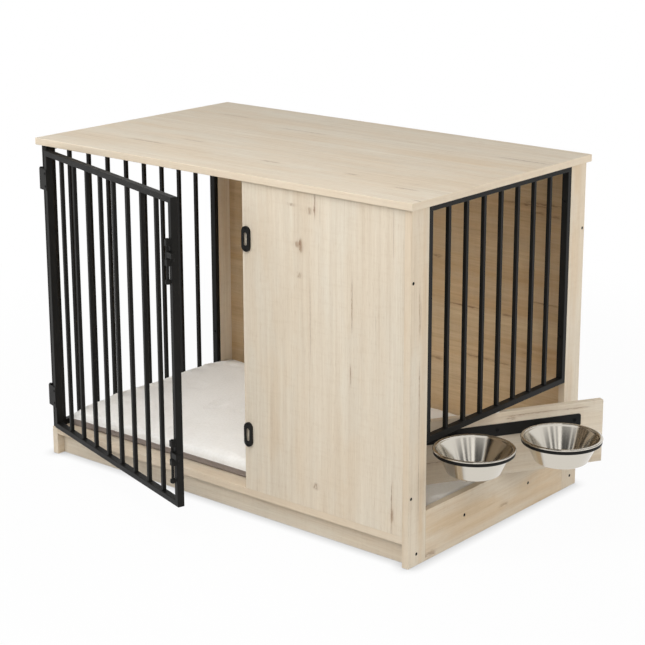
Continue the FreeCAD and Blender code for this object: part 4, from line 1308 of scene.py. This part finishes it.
@dataclass
class Bowls:
    """Two spun bowls that hang in the rings by their rolled rims."""

    crate: Crate
    finish: SteelFinish = field(default_factory=SteelFinish)
    sheet: float = 1.0 * MM
    bead: float = 2.2 * MM
    roll: float = 3.5 * MM
    lip: float = 6.0 * MM
    taper: float = 20.0 * MM
    base_round: float = 9.0 * MM
    foot_rise: float = 1.2 * MM
    foot_width: float = 9.0 * MM
    steps: int = 160
    round_steps: int = 8
    rim_steps: int = 18
    rim_angles: tuple[float, float] = (-90.0, 165.0)

    FLARE = ((-1.0 * MM, 2.5 * MM), (0.6 * MM, 0.4 * MM), (2.0 * MM, 0.0))
    THROAT = ((-1.2 * MM, -0.8 * MM), (-2.0 * MM, 1.6 * MM))

    def build(self) -> None:
        """Turn both bowls and let them stand for their nodes."""
        for side in ("front", "rear"):
            name = f"{side}_bowl"
            low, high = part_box(name)
            centre = (low + high) / 2
            mesh = lathe(f"{name}_spun", self.outline((high.x - low.x) / 2, high.z - low.z), self.steps)
            mesh.transform(Matrix.Translation(Vector((centre.x, centre.y, low.z))))
            smooth(mesh)
            mesh.materials.append(self.finish.material(f"spun_steel_{side}", centre))
            self.crate.add(link_object(f"{name}_spun", mesh), name, "stainless", name)

    def outline(self, radius: float, height: float) -> Profile:
        """Half section from the middle of the underside round the rim to the middle of the inside.

        Args:
            radius: Outer radius of the rim.
            height: Height of the bowl.

        Returns:
            Radius and height of each point.
        """
        wall = radius - self.lip
        seat = height - 2 * self.bead
        lean = math.degrees(math.atan2(self.taper, seat))
        foot = wall - self.taper - self.base_round
        middle = foot - self.foot_width
        tread = foot - self.foot_width / 2
        inside = self.foot_rise + self.sheet
        centre = (foot, self.base_round)
        under = [(0.0, self.foot_rise), (middle, self.foot_rise), (tread, 0.0)]
        outer = arc(centre, self.base_round, -90.0, -lean, self.round_steps)
        flare = [(wall + out, seat - down) for out, down in self.FLARE]
        turn = arc((0.0, 0.0), 1.0, *self.rim_angles, self.rim_steps)
        rim = [(radius - self.roll + self.roll * x, height - self.bead + self.bead * z) for x, z in turn]
        throat = [(wall + out, seat - down) for out, down in self.THROAT]
        inner = arc(centre, self.base_round - self.sheet, -lean, -90.0, self.round_steps)
        well = [(tread, self.sheet), (middle, inside), (0.0, inside)]
        return under + outer + flare + rim + throat + inner + well


@dataclass
class FleeceMat:
    """Stuffed mat: cream plush on top, woven cloth below its seam."""

    crate: Crate
    corner: float = 8.0 * MM
    corner_steps: int = 6
    side_steps: int = 14
    draw_in: float = 1.5 * MM
    front_proud: float = 7.0 * MM
    side_proud: float = 1.8 * MM
    rear_proud: float = 1.0 * MM
    foot_rise: float = 0.5 * MM
    tuck_rise: float = 4.0 * MM
    tuck_share: float = 0.3
    seam_rise: float = 14.0 * MM
    undercut: float = 4.0 * MM
    start_rise: float = 35.0 * MM
    start_inset: float = 0.5 * MM
    shoulder: float = 6.0 * MM
    shoulder_angles: tuple[float, ...] = (25.0, 50.0, 72.0, 90.0)
    voxel: float = 6.0 * MM
    held_rise: float = 3.0 * MM
    quality: int = 4
    mass: float = 0.25
    stiffness: float = 0.6
    slack: float = 0.03
    pressure: float = 4.0
    frames: int = 20
    cap: float = 4.0 * MM
    clearance: float = 0.3 * MM
    highest: float = 38.0 * MM
    wave_height: float = 4.0 * MM
    wave_scale: float = 13.0
    wave_blend: float = 12.0 * MM
    corner_drop: float = 9.0 * MM
    corner_reach: float = 0.14
    piping: float = 1.4 * MM
    piping_stride: int = 3
    piping_smooth: float = math.radians(80)
    low: Vector = field(init=False)
    high: Vector = field(init=False)

    def build(self) -> None:
        """Sew, stuff and dress the mat."""
        self.low, self.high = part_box("floor_mat")
        self.low -= Vector((self.side_proud, self.front_proud, 0.0))
        self.high += Vector((self.side_proud, self.rear_proud, 0.0))
        piece = link_object("floor_mat_stuffed", self.shell())
        self.remesh(piece)
        self.stuff(piece)
        self.finish_surface(piece)
        seam = self.cut_seam(piece)
        cloth = ClothFinish().material()
        piece.data.materials.append(PlushFinish().material())
        piece.data.materials.append(cloth)
        for polygon in piece.data.polygons:
            polygon.material_index = int(polygon.center.z < self.low.z + self.seam_rise)
        piece.data.shade_smooth()
        self.crate.add(piece, "cabinet", "fleece", "floor_mat")
        self.add_piping(seam, cloth)

    def outline(self, inset: float, height: float) -> list[Vector]:
        """Outline of the mat at one height: round corners, and sides drawn in between them.

        Args:
            inset: Distance inside the largest outline.
            height: Height of the outline.

        Returns:
            The points.
        """
        centre = (self.low + self.high) / 2
        half = Vector((
            (self.high.x - self.low.x) / 2 - inset, (self.high.y - self.low.y) / 2 - inset, 0.0
        ))
        points = []
        for quarter in range(4):
            reach, end = (half.x, half.y) if quarter % 2 == 0 else (half.y, half.x)
            straight = end - self.corner
            spots = []
            for index in range(-self.side_steps, self.side_steps):
                place = index / self.side_steps
                spots.append(Vector((reach - self.draw_in * (1 - place * place), straight * place, 0.0)))
            middle = Vector((reach - self.corner, straight, 0.0))
            for index in range(self.corner_steps):
                angle = index / self.corner_steps * math.pi / 2
                spots.append(middle + self.corner * Vector((math.cos(angle), math.sin(angle), 0.0)))
            points += [turned(spot, quarter * math.pi / 2) for spot in spots]
        return [Vector((centre.x + point.x, centre.y + point.y, height)) for point in points]

    def shell(self) -> bpy.types.Mesh:
        """Closed shell of the mat before it is stuffed.

        Returns:
            The mesh.
        """
        inset = self.start_inset
        levels = [
            (self.foot_rise, inset + self.undercut),
            (self.tuck_rise, inset + self.tuck_share * self.undercut),
            (self.seam_rise, inset),
        ]
        crown = self.start_rise - self.seam_rise
        for angle in self.shoulder_angles:
            turn = math.radians(angle)
            rise = self.seam_rise + crown * math.sin(turn)
            levels.append((rise, inset + self.shoulder * (1 - math.cos(turn))))
        body = bmesh.new()
        rings = []
        for rise, shift in levels:
            rings.append([body.verts.new(point) for point in self.outline(shift, self.low.z + rise)])
        join_rings(body, rings)
        body.faces.new(list(reversed(rings[0])))
        body.faces.new(rings[-1])
        bmesh.ops.recalc_face_normals(body, faces=body.faces)
        return drawn_mesh("mat_shell", body)

    def remesh(self, piece: bpy.types.Object) -> None:
        """Cover the shell evenly with small faces.

        Args:
            piece: The mat, whose mesh is exchanged.
        """
        modifier = piece.modifiers.new("even_faces", "REMESH")
        modifier.mode = "VOXEL"
        modifier.voxel_size = self.voxel
        modifier.use_smooth_shade = True
        self.keep(piece, evaluated_mesh(piece))

    @staticmethod
    def keep(piece: bpy.types.Object, mesh: bpy.types.Mesh) -> None:
        """Exchange a piece's mesh for a finished one and drop its modifiers.

        Args:
            piece: The piece.
            mesh: The finished mesh.
        """
        old = piece.data
        piece.modifiers.clear()
        piece.data = mesh
        bpy.data.meshes.remove(old)

    def stuff(self, piece: bpy.types.Object) -> None:
        """Blow the cover up as cloth, then limit how far each point has gone.

        Args:
            piece: The mat.
        """
        before = [vertex.co.copy() for vertex in piece.data.vertices]
        group = piece.vertex_groups.new(name="base")
        top = self.low.z + self.held_rise
        group.add([vertex.index for vertex in piece.data.vertices if vertex.co.z < top], 1.0, "REPLACE")
        cloth = piece.modifiers.new("stuffing", "CLOTH")
        settings = cloth.settings
        settings.quality = self.quality
        settings.mass = self.mass
        settings.use_pressure = True
        settings.uniform_pressure_force = self.pressure
        settings.bending_stiffness = self.stiffness
        settings.shrink_min = -self.slack
        settings.effector_weights.gravity = 0.0
        settings.vertex_group_mass = group.name
        cloth.point_cache.frame_start = 1
        cloth.point_cache.frame_end = self.frames
        scene = bpy.context.scene
        for frame in range(1, self.frames + 1):
            scene.frame_set(frame)
        mesh = evaluated_mesh(piece)
        scene.frame_set(1)
        self.keep(piece, mesh)
        piece.vertex_groups.clear()
        for vertex, start in zip(mesh.vertices, before):
            move = vertex.co - start
            if move.length > self.cap:
                vertex.co = start + move * (self.cap / move.length)

    def finish_surface(self, piece: bpy.types.Object) -> None:
        """Let the top lie in soft waves, smooth it once and keep it clear of what is around it.

        Args:
            piece: The mat.
        """
        for vertex in piece.data.vertices:
            place = vertex.co
            share = min(1.0, max(0.0, (place.z - self.low.z - self.seam_rise) / self.wave_blend))
            wave = noise.fractal(place * self.wave_scale, 1.0, 2.0, 3)
            across = min(place.x - self.low.x, self.high.x - place.x)
            along = min(place.y - self.low.y, self.high.y - place.y)
            thin = max(0.0, 1.0 - math.hypot(across, along) / self.corner_reach)
            place.z += share * (self.wave_height * wave - self.corner_drop * thin)
        modifier = piece.modifiers.new("soften", "SUBSURF")
        modifier.levels = 1
        modifier.render_levels = 1
        self.keep(piece, evaluated_mesh(piece))
        for vertex in piece.data.vertices:
            place = vertex.co
            place.x = min(max(place.x, self.low.x), self.high.x)
            place.y = min(max(place.y, self.low.y), self.high.y)
            place.z = min(max(place.z, self.low.z + self.clearance), self.low.z + self.highest)

    def cut_seam(self, piece: bpy.types.Object) -> list[Vector]:
        """Cut the cover along its seam.

        Args:
            piece: The mat.

        Returns:
            Points along the seam, in order.
        """
        body = bmesh.new()
        body.from_mesh(piece.data)
        height = Vector((0, 0, self.low.z + self.seam_rise))
        geometry = list(body.verts) + list(body.edges) + list(body.faces)
        cut = bmesh.ops.bisect_plane(body, geom=geometry, plane_co=height, plane_no=UP)
        places = [item.co.copy() for item in cut["geom_cut"] if isinstance(item, bmesh.types.BMVert)]
        body.to_mesh(piece.data)
        body.free()
        centre = (self.low + self.high) / 2
        return sorted(places, key=lambda place: math.atan2(place.y - centre.y, place.x - centre.x))

    def add_piping(self, seam: Sequence[Vector], finish: bpy.types.Material) -> None:
        """Run a thin welt along the seam.

        Args:
            seam: Points along the seam, in order.
            finish: Material of the welt.
        """
        curve = bpy.data.curves.new("mat_piping", "CURVE")
        curve.dimensions = "3D"
        curve.bevel_depth = self.piping
        curve.bevel_resolution = 2
        points = list(seam)[::self.piping_stride]
        spline = curve.splines.new("POLY")
        spline.points.add(len(points) - 1)
        for point, place in zip(spline.points, points):
            point.co = (*place, 1.0)
        spline.use_cyclic_u = True
        carrier = link_object("mat_piping_curve", curve)
        mesh = evaluated_mesh(carrier)
        remove_object(carrier)
        mesh.materials.clear()
        mesh.materials.append(finish)
        smooth(mesh, self.piping_smooth)
        self.crate.add(link_object("mat_piping", mesh), "cabinet", "fleece")


# Studio

@dataclass(frozen=True)
class Lamp:
    """Soft box: its name, where it hangs, the length of its side and its power in watts."""

    name: str
    place: tuple[float, float, float]
    size: float
    power: float

    def hang(self, target: Vector) -> None:
        """Hang the soft box, unseen by the camera and in gloss.

        Args:
            target: Point that it faces.
        """
        data = bpy.data.lights.new(self.name, "AREA")
        data.shape = "SQUARE"
        data.size = self.size
        data.energy = self.power
        lamp = link_object(self.name, data)
        lamp.location = self.place
        lamp.rotation_mode = "QUATERNION"
        lamp.rotation_quaternion = (target - Vector(self.place)).to_track_quat("-Z", "Y")
        lamp.visible_camera = False
        lamp.visible_glossy = False


@dataclass
class Studio:
    """Pale floor, soft light and the camera."""

    azimuth: float = math.radians(39.663)
    elevation: float = math.radians(15.227)
    camera_place: tuple[float, float, float] = (2.4395, -2.8392, 1.4289)
    focal_pixels: float = 1819.5
    frame_pixels: float = 645.0
    principal_right: float = 16.0
    principal_down: float = -36.0
    sensor: float = 36.0
    farthest: float = 100.0
    lamp_target: tuple[float, float, float] = (0.0, 0.0, 0.36)
    floor_radius: float = 9.0
    floor_sides: int = 64
    floor_drop: float = 0.3 * MM
    floor_colour: Colour = (0.70, 0.70, 0.70)
    fade_start: float = 1.0
    fade_end: float = 2.0
    contact_reach: float = 0.03
    painted_shadow_level: float = 0.35
    contact_samples: int = 16
    clean_share: float = 0.96
    sky: float = 0.08
    ceiling: float = 0.10
    ceiling_heights: tuple[float, float] = (0.28, 0.52)
    panel_level: float = 1.30
    panel_counts: tuple[float, ...] = (5.0, 11.0, 18.0)
    panel_edges: tuple[float, float] = (-0.3, 1.1)

    LAMPS = (
        Lamp("key", (1.25, -2.1, 2.2), 1.6, 28.0),
        Lamp("entry", (-1.0, -2.4, 1.65), 1.2, 32.0),
        Lamp("low", (-2.58, 0.0, 1.1), 1.4, 37.0),
        Lamp("above", (0.2, -0.9, 2.3), 1.2, 18.0),
        Lamp("rear", (2.0, 1.4, 1.1), 1.2, 22.0),
        Lamp("side", (2.6, -0.6, 0.9), 1.2, 16.0),
    )

    def build(self) -> None:
        """Set up the floor, the light and the camera."""
        bpy.context.scene.view_settings.view_transform = "Standard"
        self.make_floor()
        self.make_world()
        for lamp in self.LAMPS:
            lamp.hang(Vector(self.lamp_target))
        self.make_camera()

    def make_camera(self) -> None:
        """Stand the camera where the photograph was taken from."""
        data = bpy.data.cameras.new("camera")
        data.sensor_width = self.sensor
        data.lens = self.focal_pixels / self.frame_pixels * self.sensor
        data.shift_x = -self.principal_right / self.frame_pixels
        data.shift_y = self.principal_down / self.frame_pixels
        data.clip_end = self.farthest
        camera = link_object("camera", data)
        back = Vector((
            math.sin(self.azimuth) * math.cos(self.elevation),
            -math.cos(self.azimuth) * math.cos(self.elevation),
            math.sin(self.elevation),
        ))
        camera.location = self.camera_place
        camera.rotation_mode = "QUATERNION"
        camera.rotation_quaternion = (-back).to_track_quat("-Z", "Y")
        bpy.context.scene.camera = camera

    def make_floor(self) -> None:
        """Lay a pale floor that keeps a faint share of the real shadow, with a painted contact shadow near
        the crate, and fades to white.
        """
        body = bmesh.new()
        bmesh.ops.create_circle(body, cap_ends=True, segments=self.floor_sides, radius=self.floor_radius)
        mesh = drawn_mesh("studio_floor", body)
        mesh.transform(Matrix.Translation((0.0, 0.0, -self.floor_drop)))
        tree = SurfaceTree("studio_floor")
        distance = tree.add("ShaderNodeVectorMath", {0: tree.place()}, operation="LENGTH")
        far = tree.window(distance.outputs["Value"], self.fade_start, self.fade_end)
        path = tree.add("ShaderNodeLightPath", {})
        seen = tree.math("MAXIMUM", path.outputs["Is Camera Ray"], path.outputs["Is Glossy Ray"])
        seen = tree.math("MAXIMUM", seen, path.outputs["Is Transmission Ray"])
        # Painted contact shadow: the floor's white glow is dimmed where ambient occlusion finds the crate
        # close by.
        near = {"Distance": self.contact_reach}
        open_air = tree.add("ShaderNodeAmbientOcclusion", near, samples=self.contact_samples)
        painted_contact_shadow = tree.mix(open_air.outputs["AO"], self.painted_shadow_level, 1.0)
        level = tree.mix(far, painted_contact_shadow, 1.0)
        share = tree.math("MULTIPLY", tree.mix(far, self.clean_share, 1.0), seen)
        matt = tree.add("ShaderNodeBsdfDiffuse", {"Color": opaque(self.floor_colour)}).outputs[0]
        white = tree.add("ShaderNodeEmission", {"Strength": level}).outputs[0]
        mixed = tree.add("ShaderNodeMixShader", {0: share, 1: matt, 2: white}).outputs[0]
        tree.feed(tree.nodes["Material Output"].inputs["Surface"], mixed)
        tree.nodes.remove(tree.surface)
        floor = link_object("studio_floor", mesh)
        mesh.materials.append(tree.material)

    def make_world(self) -> None:
        """White surroundings, a dark ceiling with bright panels in gloss, and soft light for the rest."""
        world = bpy.data.worlds.new("studio")
        bpy.context.scene.world = world
        tree = ShaderTree(world)
        x, y, z = tree.split(tree.add("ShaderNodeTexCoord", {}).outputs["Generated"])
        turn = tree.math("ARCTAN2", y, x)
        waves: Any = 0.0
        for count in self.panel_counts:
            wave = tree.math("SINE", tree.math("MULTIPLY_ADD", turn, count, count))
            waves = tree.math("ADD", waves, wave)
        panels = tree.mix(tree.window(waves, *self.panel_edges), self.ceiling, self.panel_level)
        gloss = tree.mix(tree.window(z, *self.ceiling_heights), 1.0, panels)
        path = tree.add("ShaderNodeLightPath", {})
        white = tree.math("MAXIMUM", path.outputs["Is Camera Ray"], path.outputs["Is Transmission Ray"])
        level = tree.mix(path.outputs["Is Glossy Ray"], self.sky, gloss)
        background = tree.nodes["Background"]
        tree.feed(background.inputs["Color"], opaque((1.0, 1.0, 1.0)))
        tree.feed(background.inputs["Strength"], tree.mix(white, level, 1.0))


def main() -> None:
    """Build the crate in its studio."""
    logging.basicConfig(level=logging.INFO, format="%(name)s: %(message)s")
    crate = Crate.load()
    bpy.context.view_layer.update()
    for part in (Cabinet(crate), MetalWork(crate), Fasteners(crate), Bowls(crate), FleeceMat(crate)):
        part.build()
    Studio().build()


if __name__ == "__main__":
    main()
